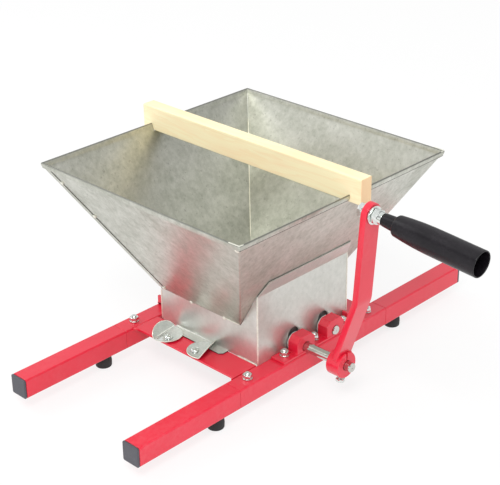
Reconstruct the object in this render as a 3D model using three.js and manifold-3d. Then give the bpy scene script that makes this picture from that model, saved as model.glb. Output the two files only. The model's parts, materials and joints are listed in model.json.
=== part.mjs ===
// Apple scratter: a hand-cranked fruit mill on a long tube frame.
// A sheet-metal hopper feeds two toothed rollers that are geared one to one and turn towards each
// other. The near roller's shaft carries the crank. The hopper stands on the frame under four
// turn latches, and a wooden batten lies across its rim in two notches.
// Millimetres. X runs along the roller shafts towards the crank, Y along the rails, Z up.
// While the part is drawn, X is counted from midway between the rails. The finished part's origin is
// on the ground, midway along the rails and under the middle of its whole breadth.

import * as THREE from 'three';
import { mergeVertices } from 'three/addons/utils/BufferGeometryUtils.js';
import Module from 'manifold-3d';

const wasm = await Module();
wasm.setup();

// Fits
const seatGap = 0.3;
const runningGap = 0.25;
const pressGap = 0.15;

// Facets round a full circle, for large rounds and for small ones
const largeSteps = 18;
const middleSteps = 10;
const smallSteps = 8;
const filletSteps = 5;

// How far a cut runs past the face that it opens
const overcut = 1;

// Rails of square tube, each a centre length with two plug-in legs
const tube = 25;
const tubeWall = 1.5;
const tubeCorner = 2;
const railSpacing = 198;
const centreLength = 264;
const legLength = 154.4;
const stubReach = 40;
const stubRoot = 20;
const capPlate = 3;
const capDepth = 14;
const capWall = 2;
const capCorner = 1;
const sharpestCorner = 0.5;

// Rubber feet
const footHeight = 15.5;
const footRadius = 10.5;
const footEdge = 2;
const footSpacing = 322;
const footStem = 3;
const footBead = 2;

// Crossbars: an angle with its wide side flush with the rail tops
const crossbarInner = 80;
const crossbarWidth = 37.5;
const crossbarSheet = 3;
const crossbarFillet = 7;

// Machine bolts
const boltRadius = 3;
const boltHexAcross = 10;
const boltHeadHeight = 4;
const boltNutHeight = 5;
const boltWasherRadius = 6;
const boltWasherHeight = 1.2;
const boltEnd = 2;
const boltFromSeam = 24;

// Shafts, both at one height, with the drive shaft on the near side
const shaftRadius = 6;
const shaftAboveRail = 8.5;
const driveY = -18;
const shaftSpacing = 53.5;
const driveShaftReach = 182;
const shaftProud = 1.5;
const shaftNose = 0.8;

// Bearing brackets: a strip with two bosses, bolted on each rail
const bracketSheet = 3;
const bracketOuterEdge = 11.5;
const bossAcross = 31;
const bossChamfer = 6.5;
const bossLength = 15;
const bossOuterFace = 11;
const bossLip = 2.2;
const bracketBoltSpacing = 53.25;
const bracketEnd = 13.2;
const tabHeight = 12;
const tabSheet = 4;

// Flanged bushes pressed into the bosses
const bushWall = 1.1;
const bushFlangeRadius = 12.5;
const bushFlange = 5.1;

// Chamber walls and hopper, folded from one thickness of sheet
const sheet = 1.2;
const chamberFarX = -77;
const chamberCrankX = 89;
const chamberLength = 160;
const hopperFootHeight = 45;
const hopperFootWidth = 138;
const hopperDepth = 171;
const hopperSpread = 97;
const hemHeight = 6;
const hemSheet = 1.4;
const wallBend = 1.6;
const crankFlange = 25;
const farFlange = 14;
const flangeTaper = 8;
const archRadius = 19.5;
const footFlange = 13;
const footFlangeStart = -50;
const footFlangeEnd = 40;
const footFlangeChamfer = 4;

// Batten across the rim
const battenWidth = 18;
const battenHeight = 31.5;
const battenY = 9.5;
const battenNotch = 9.5;
const battenOverFar = 12.5;
const battenOverCrank = 15;
const battenChamfer = 1;

// Turn latches: discs with an off-centre screw, folded so that a shallow part stands up as a finger tab
const latchRadius = 20;
const latchFoldFromCentre = 4;
const latchTabDepth = 14;
const latchRaise = THREE.MathUtils.degToRad(56);
const latchScrewFromFold = 12.5;
const latchScrewAside = 6;
const latchFromWall = 29;
const latchPlaces = [
  { name: 'near_left', x: -34, side: -1, hand: 1, turn: 7 },
  { name: 'near_right', x: 12, side: -1, hand: -1, turn: 198 },
  { name: 'far_left', x: -34, side: 1, hand: -1, turn: -7 },
  { name: 'far_right', x: 12, side: 1, hand: 1, turn: 162 },
];
const screwRadius = 2.7;
const screwTail = 1;
const screwHeadRadius = 5.5;
const screwHeadTop = 3.3;
const screwHeadRim = 1.2;
const screwHeadHeight = 3;
const screwSlotWidth = 1.2;
const screwSlotDepth = 1.2;
const screwCollarRadius = 5;
const screwNutAcross = 9;
const screwNutHeight = 4;

// Rollers: toothed rings on a hub, the two rollers' rings in each other's gaps
const ringCount = 5;
const ringPitch = 32;
const ringWidth = 14;
const ringTeeth = 5;
const ringTip = 31;
const ringRoot = 19.5;
const hubRadius = 18;
const hubEnd = 1;
const rollerStart = -73.5;

// A tooth's corners as shares of the tooth pitch: the back climbs from the root to a wide tip, and
// the front drops in a hook
const toothBack = { root: 0.02, swell: 0.14, tip: 0.46 };
const toothTipMiddle = 0.57;
const toothFront = { tip: 0.68, hook: 0.56, root: 0.8 };
const toothGap = 0.91;
const toothSwellDepth = 1.9;
const toothHookHeight = 2;

// One-to-one spur gears between the far wall and the far rail
const gearTeeth = 16;
const gearFace = 5.5;
const gearFromWall = 2.2;
const gearBacklash = 0.045;
const gearAddendum = 0.9;
const gearDedendum = 1.2;
const pressureAngle = THREE.MathUtils.degToRad(20);

// Crank: a flat bar on a drilled hub, bent outwards, with a turning grip
const armWidth = 26;
const armThickness = 8;
const crankHubRadius = 16.3;
const crankHubStart = 154.5;
const crankHubLength = 19;
const crankHubSlot = 3;
const armFootX = 158.8;
const armFootDrop = 6;
const armBendX = 193.3;
const armBendRise = 94.6;
const armBendRadius = 30;
const crankRadius = 205;
const armLean = THREE.MathUtils.degToRad(4.3);
const hubBoltLength = 15;

// Grip, its spindle, and the nuts that clamp the spindle on the arm
const spindleRadius = 5;
const spindleRear = 19;
const spindleHeadRadius = 8.5;
const spindleHead = 6;
const nutAcross = 16;
const rearNutHeight = 7;
const frontNutHeight = 8;
const nutCollarRadius = 7.5;
const nutCollar = 4.5;
const washerRadius = 11;
const washerHeight = 2;
const gripLength = 128;
const gripRadius = 15.4;
const gripBodyRadius = 12.2;
const gripNeckRadius = 8.6;
const gripNeckTip = 6.8;
const gripNeckLength = 17;
const gripTaperLength = 30;
const gripEdge = 1.2;
const gripSwell = 0.7;
const gripSwellLength = 12;
const gripFloor = 62;
const gripWall = 2.6;

// Places worked out from the sizes above
const railX = railSpacing / 2;
const railBottom = footHeight;
const railTop = railBottom + tube;
const railMiddle = railBottom + tube / 2;
const legStart = centreLength / 2 + seatGap;
const cornerBoltY = centreLength / 2 - boltFromSeam;
const shaftZ = railTop + shaftAboveRail;
const idlerY = driveY + shaftSpacing;
const shaftMidY = (driveY + idlerY) / 2;
const wallFootZ = railTop + seatGap;
const chamberHalf = chamberLength / 2;
const hopperFootZ = railTop + hopperFootHeight;
const hopperRimZ = hopperFootZ + hopperDepth;
const hopperFootX0 = chamberFarX;
const hopperFootX1 = chamberFarX + hopperFootWidth;
const spreadRate = hopperSpread / hopperDepth;
const panelLean = Math.atan(spreadRate);
const crankFoldZ = hopperFootZ + (chamberCrankX - hopperFootX1) / spreadRate;
const bossInnerFace = bossOuterFace - bossLength;
const bushRadius = shaftRadius + runningGap + bushWall;
const shaftBore = shaftRadius + seatGap;
const rollerLength = (2 * ringCount - 1) * ringPitch / 2 + ringWidth;
const shaftEnd = railX + bossOuterFace + shaftProud;
const hubBoltX = crankHubStart + crankHubLength / 2;
const armTopX = armBendX + (crankRadius - armBendRise) * Math.tan(armLean);

// Drawing helpers
const origin = new THREE.Vector2();

// Points without the repeats that meeting arcs and corners leave
const distinct = (points) => points.filter((point, i) => {
  const next = points[(i + 1) % points.length];
  return point.distanceTo(next) > 1e-3;
});

function arc(x, y, radius, from, to, steps) {
  const points = [];
  for (let i = 0; i <= steps; i += 1) {
    const angle = from + (to - from) * i / steps;
    points.push(new THREE.Vector2(x + radius * Math.cos(angle), y + radius * Math.sin(angle)));
  }
  return points;
}

const circle = (x, y, radius, steps = smallSteps) => (
  arc(x, y, radius, 0, 2 * Math.PI, steps).slice(0, steps)
);

// A hole's facets lie outside its true radius, so that a round pin clears them
const hole = (x, y, radius, steps = smallSteps) => (
  circle(x, y, radius / Math.cos(Math.PI / steps), steps)
);

function regular(sides, across, x = 0, y = 0) {
  const radius = across / 2 / Math.cos(Math.PI / sides);
  return arc(x, y, radius, Math.PI / sides, Math.PI / sides + 2 * Math.PI, sides).slice(0, sides);
}

function chamferedSquare(size, chamfer, x, y) {
  const half = size / 2;
  const flat = half - chamfer;
  return [
    [half, -flat], [half, flat], [flat, half], [-flat, half],
    [-half, flat], [-half, -flat], [-flat, -half], [flat, -half],
  ].map(([dx, dy]) => new THREE.Vector2(x + dx, y + dy));
}

function roundedSquare(size, radius, steps = 2) {
  const reach = size / 2 - radius;
  const quarter = Math.PI / 2;
  return distinct([
    ...arc(reach, -reach, radius, -quarter, 0, steps),
    ...arc(reach, reach, radius, 0, quarter, steps),
    ...arc(-reach, reach, radius, quarter, 2 * quarter, steps),
    ...arc(-reach, -reach, radius, 2 * quarter, 3 * quarter, steps),
  ]);
}

// Outline of a strip of even thickness along a bent centre line
function bentStrip(line, thickness, bendRadius, steps = filletSteps) {
  const stations = [];
  const last = line.length - 1;
  line.forEach((point, i) => {
    const before = i > 0 ? point.clone().sub(line[i - 1]).normalize() : null;
    const after = i < last ? line[i + 1].clone().sub(point).normalize() : null;
    if (!before || !after) {
      stations.push({ point, along: before || after });
      return;
    }
    const turn = Math.atan2(before.cross(after), before.dot(after));
    const setback = bendRadius * Math.tan(Math.abs(turn) / 2);
    const start = point.clone().addScaledVector(before, -setback);
    const side = Math.sign(turn);
    const inwards = new THREE.Vector2(-before.y, before.x);
    const centre = start.clone().addScaledVector(inwards, side * bendRadius);
    for (let k = 0; k <= steps; k += 1) {
      const angle = turn * k / steps;
      const along = before.clone().rotateAround(origin, angle);
      const spot = start.clone().rotateAround(centre, angle);
      stations.push({ point: spot, along });
    }
  });
  const offset = (amount) => stations.map(({ point, along }) => (
    new THREE.Vector2(point.x - along.y * amount, point.y + along.x * amount)
  ));
  return distinct([...offset(-thickness / 2), ...offset(thickness / 2).reverse()]);
}

// Solids: each takes an outline and runs it straight along one axis
const axisX = new THREE.Vector3(1, 0, 0);
const axisY = new THREE.Vector3(0, 1, 0);
const axisZ = new THREE.Vector3(0, 0, 1);

function extrude(points, length, holes) {
  const shape = new THREE.Shape(points);
  shape.holes = holes.map((hole) => new THREE.Path(hole));
  return new THREE.ExtrudeGeometry(shape, { depth: length, bevelEnabled: false });
}

// The outline's coordinates are Y and Z
function alongX(points, x0, x1, ...holes) {
  const geometry = extrude(points, x1 - x0, holes);
  geometry.applyMatrix4(new THREE.Matrix4().makeBasis(axisY, axisZ, axisX));
  return solid(geometry.translate(x0, 0, 0));
}

// The outline's coordinates are X and Z
function alongY(points, y0, y1, ...holes) {
  const geometry = extrude(points, y1 - y0, holes);
  geometry.applyMatrix4(new THREE.Matrix4().makeBasis(axisX, axisZ, axisY.clone().negate()));
  return solid(geometry.translate(0, y1, 0));
}

// The outline's coordinates are X and Y
function alongZ(points, z0, z1, ...holes) {
  return solid(extrude(points, z1 - z0, holes).translate(0, 0, z0));
}

// A closed profile of [place along X, radius] turned about X
function turned(profile, steps = largeSteps) {
  const points = profile.map(([x, radius]) => new THREE.Vector2(radius, x));
  const closed = [...points, points[0].clone()];
  const geometry = new THREE.LatheGeometry(closed, steps).rotateZ(-Math.PI / 2);
  return solid(geometry);
}

function block(x0, x1, y0, y1, z0, z1) {
  const geometry = new THREE.BoxGeometry(x1 - x0, y1 - y0, z1 - z0);
  return solid(geometry.translate((x0 + x1) / 2, (y0 + y1) / 2, (z0 + z1) / 2));
}

// A frustum between two level rectangles
function frustum(low, high) {
  const corners = [low, high].flatMap(({ x0, x1, y0, y1, z }) => [
    x0, y0, z, x1, y0, z, x1, y1, z, x0, y1, z,
  ]);
  const faces = [
    0, 2, 1, 0, 3, 2, 4, 5, 6, 4, 6, 7,
    0, 1, 5, 0, 5, 4, 1, 2, 6, 1, 6, 5,
    2, 3, 7, 2, 7, 6, 3, 0, 4, 3, 4, 7,
  ];
  const geometry = new THREE.BufferGeometry();
  geometry.setAttribute('position', new THREE.Float32BufferAttribute(corners, 3));
  geometry.setIndex(faces);
  return solid(geometry);
}

function solid(geometry) {
  const bare = geometry.clone();
  bare.deleteAttribute('normal');
  bare.deleteAttribute('uv');
  const merged = mergeVertices(bare, 1e-4);
  return new wasm.Manifold(new wasm.Mesh({
    numProp: 3,
    vertProperties: new Float32Array(merged.attributes.position.array),
    triVerts: new Uint32Array(merged.index.array),
  }));
}

function geometryOf(body) {
  const mesh = body.getMesh();
  const geometry = new THREE.BufferGeometry();
  geometry.setAttribute('position', new THREE.BufferAttribute(mesh.vertProperties, 3));
  geometry.setIndex(new THREE.BufferAttribute(mesh.triVerts, 1));
  geometry.computeVertexNormals();
  return geometry;
}

const join = (first, ...others) => others.reduce((sum, body) => sum.add(body), first);
const cut = (first, ...others) => others.reduce((rest, body) => rest.subtract(body), first);
const turn = (body, angle) => geometryOf(body).rotateY(angle);

// Materials
const paint = new THREE.MeshStandardMaterial({ color: 0xd8203a, roughness: 0.3, metalness: 0.1 });
const steelSheet = new THREE.MeshStandardMaterial({ color: 0xb9b8b0, roughness: 0.35, metalness: 0.9 });
const zinc = new THREE.MeshStandardMaterial({ color: 0xcfd0cc, roughness: 0.3, metalness: 0.95 });
const brightSteel = new THREE.MeshStandardMaterial({ color: 0xc4c5c6, roughness: 0.22, metalness: 1 });
const aluminium = new THREE.MeshStandardMaterial({ color: 0xb4b6b8, roughness: 0.45, metalness: 0.9 });
const castSteel = new THREE.MeshStandardMaterial({ color: 0x8a8c8e, roughness: 0.5, metalness: 0.9 });
const pine = new THREE.MeshStandardMaterial({ color: 0xeed9ae, roughness: 0.65, metalness: 0 });
const rubber = new THREE.MeshStandardMaterial({ color: 0x1c1b1d, roughness: 0.8, metalness: 0 });
const capPlastic = new THREE.MeshStandardMaterial({ color: 0x4a4447, roughness: 0.55, metalness: 0 });
const gripPlastic = new THREE.MeshStandardMaterial({ color: 0x2b2a2d, roughness: 0.4, metalness: 0 });

const scratter = new THREE.Group();
scratter.name = 'scratter';

function place(name, geometry, material, parent, x = 0, y = 0, z = 0, heading = 0) {
  const mesh = new THREE.Mesh(geometry, material);
  mesh.name = name;
  mesh.position.set(x, y, z);
  mesh.rotation.z = heading;
  parent.add(mesh);
  return mesh;
}

const sides = [{ name: 'crank', sign: 1 }, { name: 'far', sign: -1 }];
const ends = [{ name: 'near', sign: -1 }, { name: 'rear', sign: 1 }];

// Fasteners that run down through a rail, seated on the given thickness above it
function railBolt(stack) {
  const washerZ = tube / 2 + stack + seatGap;
  const nutZ = washerZ + boltWasherHeight;
  const headZ = -tube / 2 - seatGap;
  return geometryOf(join(
    alongZ(circle(0, 0, boltRadius), headZ - boltHeadHeight / 2, nutZ + boltNutHeight + boltEnd),
    alongZ(circle(0, 0, boltWasherRadius, middleSteps), washerZ, nutZ),
    alongZ(regular(6, boltHexAcross), nutZ, nutZ + boltNutHeight),
    alongZ(regular(6, boltHexAcross), headZ - boltHeadHeight, headZ),
  ));
}

const boltHole = (x, y) => alongZ(hole(x, y, boltRadius + seatGap), -tube, tube);

// Frame: rails, legs, caps, feet and crossbars
function tubeBody(size, wall, corner, y0, y1) {
  return alongY(
    roundedSquare(size, corner),
    y0,
    y1,
    roundedSquare(size - 2 * wall, Math.max(corner - wall, sharpestCorner), 1).reverse(),
  );
}

function centreRail() {
  const holes = [-cornerBoltY, cornerBoltY];
  for (let i = -1; i <= 1; i += 1) holes.push(shaftMidY + i * bracketBoltSpacing);
  const body = tubeBody(tube, tubeWall, tubeCorner, -centreLength / 2, centreLength / 2);
  return geometryOf(cut(body, ...holes.map((y) => boltHole(0, y))));
}

// A leg is drawn for the rear end, running outwards along +Y
function leg() {
  const bore = tube - 2 * tubeWall;
  const stub = bore - 2 * seatGap;
  const stubCorner = Math.max(tubeCorner - tubeWall, sharpestCorner);
  const body = join(
    tubeBody(tube, tubeWall, tubeCorner, legStart, legStart + legLength),
    tubeBody(stub, tubeWall, stubCorner, legStart - stubReach, legStart + stubRoot),
    tubeBody(bore + tubeWall, 2 * tubeWall, stubCorner, legStart, legStart + 2 * tubeWall),
  );
  const footHole = alongZ(hole(0, footSpacing / 2, footStem + seatGap), -tube, 0);
  return geometryOf(cut(body, boltHole(0, cornerBoltY), footHole));
}

function endCap() {
  const bore = tube - 2 * tubeWall - 2 * seatGap;
  return geometryOf(join(
    alongY(roundedSquare(tube, tubeCorner), 0, capPlate),
    tubeBody(bore, capWall, capCorner, -capDepth, capPlate / 2),
  ));
}

function foot() {
  const top = footHeight - seatGap;
  const stemTop = footHeight + tubeWall + footBead;
  const upright = turned([
    [0, 0], [0, footRadius - footEdge], [footEdge, footRadius], [top - footEdge, footRadius],
    [top, footRadius - footEdge], [top, footStem], [stemTop, footStem], [stemTop, 0],
  ], middleSteps);
  return turn(upright, -Math.PI / 2);
}

// A crossbar is drawn for the rear end, with its wide side running outwards
function crossbar() {
  const half = railX - tube / 2 - seatGap;
  const rim = crossbarInner + crossbarWidth + crossbarFillet;
  const topZ = tube / 2;
  const plate = alongZ(distinct([
    new THREE.Vector2(-half, crossbarInner),
    new THREE.Vector2(half, crossbarInner),
    ...arc(half - crossbarFillet, rim, crossbarFillet, 0, -Math.PI / 2, filletSteps),
    ...arc(-half + crossbarFillet, rim, crossbarFillet, -Math.PI / 2, -Math.PI, filletSteps),
  ]), topZ - crossbarSheet, topZ);
  const apron = block(-half, half, crossbarInner, crossbarInner + crossbarSheet, -topZ, topZ);
  const screwHoles = latchPlaces.filter(({ side }) => side > 0).map(({ x }) => (
    alongZ(hole(x, chamberHalf + latchFromWall, screwRadius + seatGap), 0, tube)
  ));
  return geometryOf(cut(join(plate, apron), ...screwHoles));
}

const frame = new THREE.Group();
frame.position.z = railMiddle;
scratter.add(frame);

const centreRailShape = centreRail();
const legShape = leg();
const capShape = endCap();
const footShape = foot();
const cornerBoltShape = railBolt(0);
sides.forEach((side) => {
  place(`rail_${side.name}`, centreRailShape, paint, frame, side.sign * railX);
  ends.forEach((end) => {
    const label = `${side.name}_${end.name}`;
    const x = side.sign * railX;
    const heading = end.sign > 0 ? 0 : Math.PI;
    const capY = end.sign * (legStart + legLength + seatGap);
    place(`leg_${label}`, legShape, paint, frame, x, 0, 0, heading);
    place(`end_cap_${label}`, capShape, capPlastic, frame, x, capY, 0, heading);
    place(`foot_${label}`, footShape, rubber, frame, x, end.sign * footSpacing / 2, -railMiddle);
    place(`corner_bolt_${label}`, cornerBoltShape, zinc, frame, x, end.sign * cornerBoltY);
  });
});

// The near crossbar's screw holes mirror the rear one's, so it is cut for itself
const crossbarShape = crossbar();
ends.forEach((end) => {
  const shape = end.sign > 0 ? crossbarShape : crossbarShape.clone().scale(1, -1, 1);
  if (end.sign < 0) flipFaces(shape);
  place(`crossbar_${end.name}`, shape, paint, frame);
});

function flipFaces(geometry) {
  const index = geometry.index.array;
  for (let i = 0; i < index.length; i += 3) [index[i], index[i + 1]] = [index[i + 1], index[i]];
  geometry.computeVertexNormals();
}

// Bearing brackets, drawn for the crank rail about the middle of its top
function bracket() {
  const inner = chamberCrankX + seatGap - railX;
  const y1 = bracketBoltSpacing + bracketEnd;
  const strip = block(inner, bracketOuterEdge, -y1, y1, 0, bracketSheet);
  const tab = block(inner, bracketOuterEdge, y1 - tabSheet, y1, 0, tabHeight);
  const axisHeight = shaftAboveRail - seatGap;
  const bosses = [-1, 1].map((sign) => (
    alongX(
      chamferedSquare(bossAcross, bossChamfer, sign * shaftSpacing / 2, axisHeight),
      bossInnerFace,
      bossOuterFace,
    )
  ));
  const below = block(-tube, tube, -y1, y1, -bossAcross, 0);
  const bores = [-1, 1].flatMap((sign) => {
    const y = sign * shaftSpacing / 2;
    return [
      alongX(
        hole(y, axisHeight, bushRadius + pressGap, largeSteps),
        bossInnerFace - overcut,
        bossOuterFace - bossLip,
      ),
      alongX(hole(y, axisHeight, shaftBore, largeSteps), -tube, tube),
    ];
  });
  const flangeHalf = bushFlangeRadius + seatGap;
  const notches = [-1, 1].map((sign) => {
    const y = sign * shaftSpacing / 2;
    return block(-tube, bossInnerFace, y - flangeHalf, y + flangeHalf, -overcut, tube);
  });
  const holes = [-1, 0, 1].map((i) => boltHole(0, i * bracketBoltSpacing));
  return geometryOf(cut(join(strip, tab, ...bosses), below, ...bores, ...notches, ...holes));
}

// A bush is drawn with its flange's seat at X 0 and its sleeve running along +X. The flange is cut
// flat below so that it stands on the rail.
function bush() {
  const bore = shaftRadius + runningGap;
  const sleeve = bossLength - bossLip - seatGap;
  const body = turned([
    [-seatGap - bushFlange, bore], [sleeve, bore], [sleeve, bushRadius],
    [-seatGap, bushRadius], [-seatGap, bushFlangeRadius], [-seatGap - bushFlange, bushFlangeRadius],
  ].reverse());
  const flat = block(-tube, 0, -tube, tube, -tube, seatGap - shaftAboveRail);
  return geometryOf(cut(body, flat));
}

const bracketShape = bracket();
const bracketBoltShape = railBolt(bracketSheet + seatGap);
const bushShape = bush();
sides.forEach((side) => {
  const carrier = new THREE.Group();
  carrier.position.set(side.sign * railX, shaftMidY, railTop + seatGap);
  carrier.rotation.z = side.sign > 0 ? 0 : Math.PI;
  scratter.add(carrier);
  place(`bearing_bracket_${side.name}`, bracketShape, paint, carrier);
  const names = side.sign > 0 ? ['drive', 'idler'] : ['idler', 'drive'];
  names.forEach((name, i) => {
    const y = (i === 0 ? -1 : 1) * shaftSpacing / 2;
    const z = shaftAboveRail - seatGap;
    place(`bush_${side.name}_${name}`, bushShape, brightSteel, carrier, bossInnerFace, y, z);
  });
  [-1, 0, 1].forEach((i) => {
    const name = `bracket_bolt_${side.name}_${i + 2}`;
    const z = -seatGap - tube / 2;
    place(name, bracketBoltShape, zinc, carrier, 0, i * bracketBoltSpacing, z);
  });
});

// Chamber walls
function archCuts(x) {
  return [driveY, idlerY].map((y) => alongX([
    new THREE.Vector2(y - archRadius, 0),
    new THREE.Vector2(y + archRadius, 0),
    ...arc(y, shaftZ, archRadius, 0, Math.PI, largeSteps),
  ], x - tube, x + tube));
}

// A wall across the shafts, with its top bent out to lie under the hopper's panel
function shaftWall(sign, faceX, foldZ, flange) {
  const middleX = faceX - sign * sheet / 2;
  const lift = (seatGap + sheet / 2) / Math.cos(panelLean);
  const bendZ = foldZ - (sheet / 2 + lift) / spreadRate;
  const along = new THREE.Vector2(sign * Math.sin(panelLean), Math.cos(panelLean));
  const footPoint = new THREE.Vector2(middleX, wallFootZ);
  const bend = new THREE.Vector2(middleX, bendZ);
  const tip = bend.clone().addScaledVector(along, flange);
  const wall = alongY(bentStrip([footPoint, bend, tip], sheet, wallBend), -chamberHalf, chamberHalf);
  const tapers = [-1, 1].map((end) => {
    const y = end * chamberHalf;
    return alongX([
      new THREE.Vector2(y, bendZ),
      new THREE.Vector2(y + end * flange, bendZ),
      new THREE.Vector2(y + end * flange, tip.y + sheet),
      new THREE.Vector2(y - end * flangeTaper, tip.y + sheet),
    ], faceX - 2 * flange, faceX + 2 * flange);
  });
  return geometryOf(cut(wall, ...archCuts(faceX), ...tapers));
}

// A wall along the shafts, drawn for the rear end, with its foot flange on the crossbar
function endWall() {
  const x0 = chamberFarX + sheet + seatGap;
  const x1 = chamberCrankX - sheet - seatGap;
  const topZ = hopperFootZ - seatGap;
  const slopeGap = seatGap / spreadRate;
  const panelZ = (x) => hopperFootZ + (x - hopperFootX1) / spreadRate - slopeGap;
  const wall = alongY([
    new THREE.Vector2(x0, wallFootZ),
    new THREE.Vector2(x1, wallFootZ),
    new THREE.Vector2(x1, panelZ(x1)),
    new THREE.Vector2(hopperFootX1 + (topZ - hopperFootZ + slopeGap) * spreadRate, topZ),
    new THREE.Vector2(x0, topZ),
  ], chamberHalf - sheet, chamberHalf);
  const outer = chamberHalf + footFlange;
  const flange = alongZ([
    new THREE.Vector2(footFlangeStart, chamberHalf - sheet / 2),
    new THREE.Vector2(footFlangeEnd, chamberHalf - sheet / 2),
    new THREE.Vector2(footFlangeEnd, outer - footFlangeChamfer),
    new THREE.Vector2(footFlangeEnd - footFlangeChamfer, outer),
    new THREE.Vector2(footFlangeStart + footFlangeChamfer, outer),
    new THREE.Vector2(footFlangeStart, outer - footFlangeChamfer),
  ], wallFootZ, wallFootZ + sheet);
  return geometryOf(join(wall, flange));
}

// Hopper: four leaning panels with a hemmed rim, open below into the chamber
function hopperLevel(z, outset) {
  const spread = (z - hopperFootZ) * spreadRate + outset;
  return {
    x0: hopperFootX0 - spread,
    x1: hopperFootX1 + spread,
    y0: -chamberHalf - spread,
    y1: chamberHalf + spread,
    z,
  };
}

function hopper() {
  const level = sheet / Math.cos(panelLean);
  const hem = hemSheet / Math.cos(panelLean);
  const outside = frustum(hopperLevel(hopperFootZ, 0), hopperLevel(hopperRimZ, 0));
  const band = frustum(hopperLevel(hopperRimZ - hemHeight, hem), hopperLevel(hopperRimZ, hem));
  const inside = frustum(
    hopperLevel(hopperFootZ - overcut, -level),
    hopperLevel(hopperRimZ + overcut, -level),
  );
  const mouth = block(
    hopperFootX1 - 2 * level,
    chamberCrankX + seatGap,
    -chamberHalf - seatGap,
    chamberHalf + seatGap,
    hopperFootZ - overcut,
    crankFoldZ,
  );
  const notches = block(
    hopperFootX0 - 2 * hopperSpread,
    hopperFootX1 + 2 * hopperSpread,
    battenY - battenWidth / 2 - seatGap,
    battenY + battenWidth / 2 + seatGap,
    hopperRimZ - battenNotch - seatGap,
    hopperRimZ + overcut,
  );
  return geometryOf(cut(join(outside, band), inside, mouth, notches));
}

function batten() {
  const length = hopperFootWidth + 2 * hopperSpread + battenOverFar + battenOverCrank;
  const width = battenWidth / 2;
  const c = battenChamfer;
  const section = [
    [-width + c, 0], [width - c, 0], [width, c], [width, battenHeight - c],
    [width - c, battenHeight], [-width + c, battenHeight], [-width, battenHeight - c], [-width, c],
  ].map(([y, z]) => new THREE.Vector2(y, z));
  return geometryOf(alongX(section, 0, length));
}

const bin = new THREE.Group();
scratter.add(bin);
const endWallShape = endWall();
const nearWallShape = endWallShape.clone().scale(1, -1, 1);
flipFaces(nearWallShape);
place('chamber_wall_crank', shaftWall(1, chamberCrankX, crankFoldZ, crankFlange), steelSheet, bin);
place('chamber_wall_far', shaftWall(-1, chamberFarX, hopperFootZ, farFlange), steelSheet, bin);
place('chamber_wall_rear', endWallShape, steelSheet, bin);
place('chamber_wall_near', nearWallShape, steelSheet, bin);
place('hopper', hopper(), steelSheet, bin);
const battenX = hopperFootX0 - hopperSpread - battenOverFar;
place('batten', batten(), pine, bin, battenX, battenY, hopperRimZ - battenNotch);

// Turn latches and their screws, drawn about the screw's axis with the flat part towards +X
function latch(hand) {
  const chord = Math.acos(-latchFoldFromCentre / latchRadius);
  const halfFold = latchRadius * Math.sin(chord);
  const flat = alongZ(
    arc(latchFoldFromCentre, 0, latchRadius, -chord, chord, largeSteps),
    0,
    sheet,
  );
  const tabOutline = arc(0, 0, halfFold, Math.PI / 2, 3 * Math.PI / 2, middleSteps).map((point) => (
    new THREE.Vector2(point.x * latchTabDepth / halfFold, point.y)
  ));
  const tab = solid(turn(alongZ(tabOutline, 0, sheet), latchRaise));
  const screwHole = alongZ(
    hole(latchScrewFromFold, -hand * latchScrewAside, screwRadius + seatGap),
    -sheet,
    2 * sheet,
  );
  const shape = geometryOf(cut(join(flat, tab), screwHole));
  return shape.translate(-latchScrewFromFold, hand * latchScrewAside, 0);
}

// The screw's zero is the top of the crossbar
function latchScrew() {
  const seat = 2 * seatGap + sheet;
  const headZ = seat + sheet + seatGap;
  const nutZ = -crossbarSheet - seatGap;
  const tailZ = nutZ - screwNutHeight - screwTail;
  const upright = turn(turned([
    [tailZ, 0], [tailZ, screwRadius],
    [seatGap, screwRadius], [seatGap, screwCollarRadius],
    [seat - seatGap, screwCollarRadius], [seat - seatGap, screwRadius],
    [headZ, screwRadius], [headZ, screwHeadRadius], [headZ + screwHeadRim, screwHeadRadius],
    [headZ + screwHeadHeight, screwHeadTop], [headZ + screwHeadHeight, 0],
  ], smallSteps), -Math.PI / 2);
  const slot = block(
    -screwHeadRadius,
    screwHeadRadius,
    -screwSlotWidth / 2,
    screwSlotWidth / 2,
    headZ + screwHeadHeight - screwSlotDepth,
    tube,
  );
  const nut = alongZ(regular(6, screwNutAcross), nutZ - screwNutHeight, nutZ);
  return geometryOf(cut(join(solid(upright), nut), slot));
}

const latchShapes = { 1: latch(1), '-1': latch(-1) };
const screwShape = latchScrew();
const latchZ = railTop + 2 * seatGap + sheet;
latchPlaces.forEach(({ name, x, side, hand, turn: degrees }) => {
  const y = side * (chamberHalf + latchFromWall);
  const heading = THREE.MathUtils.degToRad(degrees);
  place(`latch_${name}`, latchShapes[hand], zinc, scratter, x, y, latchZ, heading);
  place(`latch_screw_${name}`, screwShape, zinc, scratter, x, y, railTop, heading + Math.PI / 4);
});

// Rollers, drawn about the shaft's axis; the teeth lean the way the roller turns
function ringOutline(way) {
  const pitch = way * 2 * Math.PI / ringTeeth;
  const at = (radius, share) => new THREE.Vector2(radius, 0).rotateAround(origin, share * pitch);
  const back = new THREE.QuadraticBezierCurve(
    at(ringRoot, toothBack.root),
    at(ringTip - toothSwellDepth, toothBack.swell),
    at(ringTip, toothBack.tip),
  ).getPoints(3);
  const front = new THREE.QuadraticBezierCurve(
    at(ringTip, toothFront.tip),
    at(ringRoot + toothHookHeight, toothFront.hook),
    at(ringRoot, toothFront.root),
  ).getPoints(2);
  const tooth = [...back, at(ringTip, toothTipMiddle), ...front, at(ringRoot, toothGap)];
  const points = [];
  for (let i = 0; i < ringTeeth; i += 1) {
    points.push(...tooth.map((point) => point.clone().rotateAround(origin, i * pitch)));
  }
  return distinct(way > 0 ? points : points.reverse());
}

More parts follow.
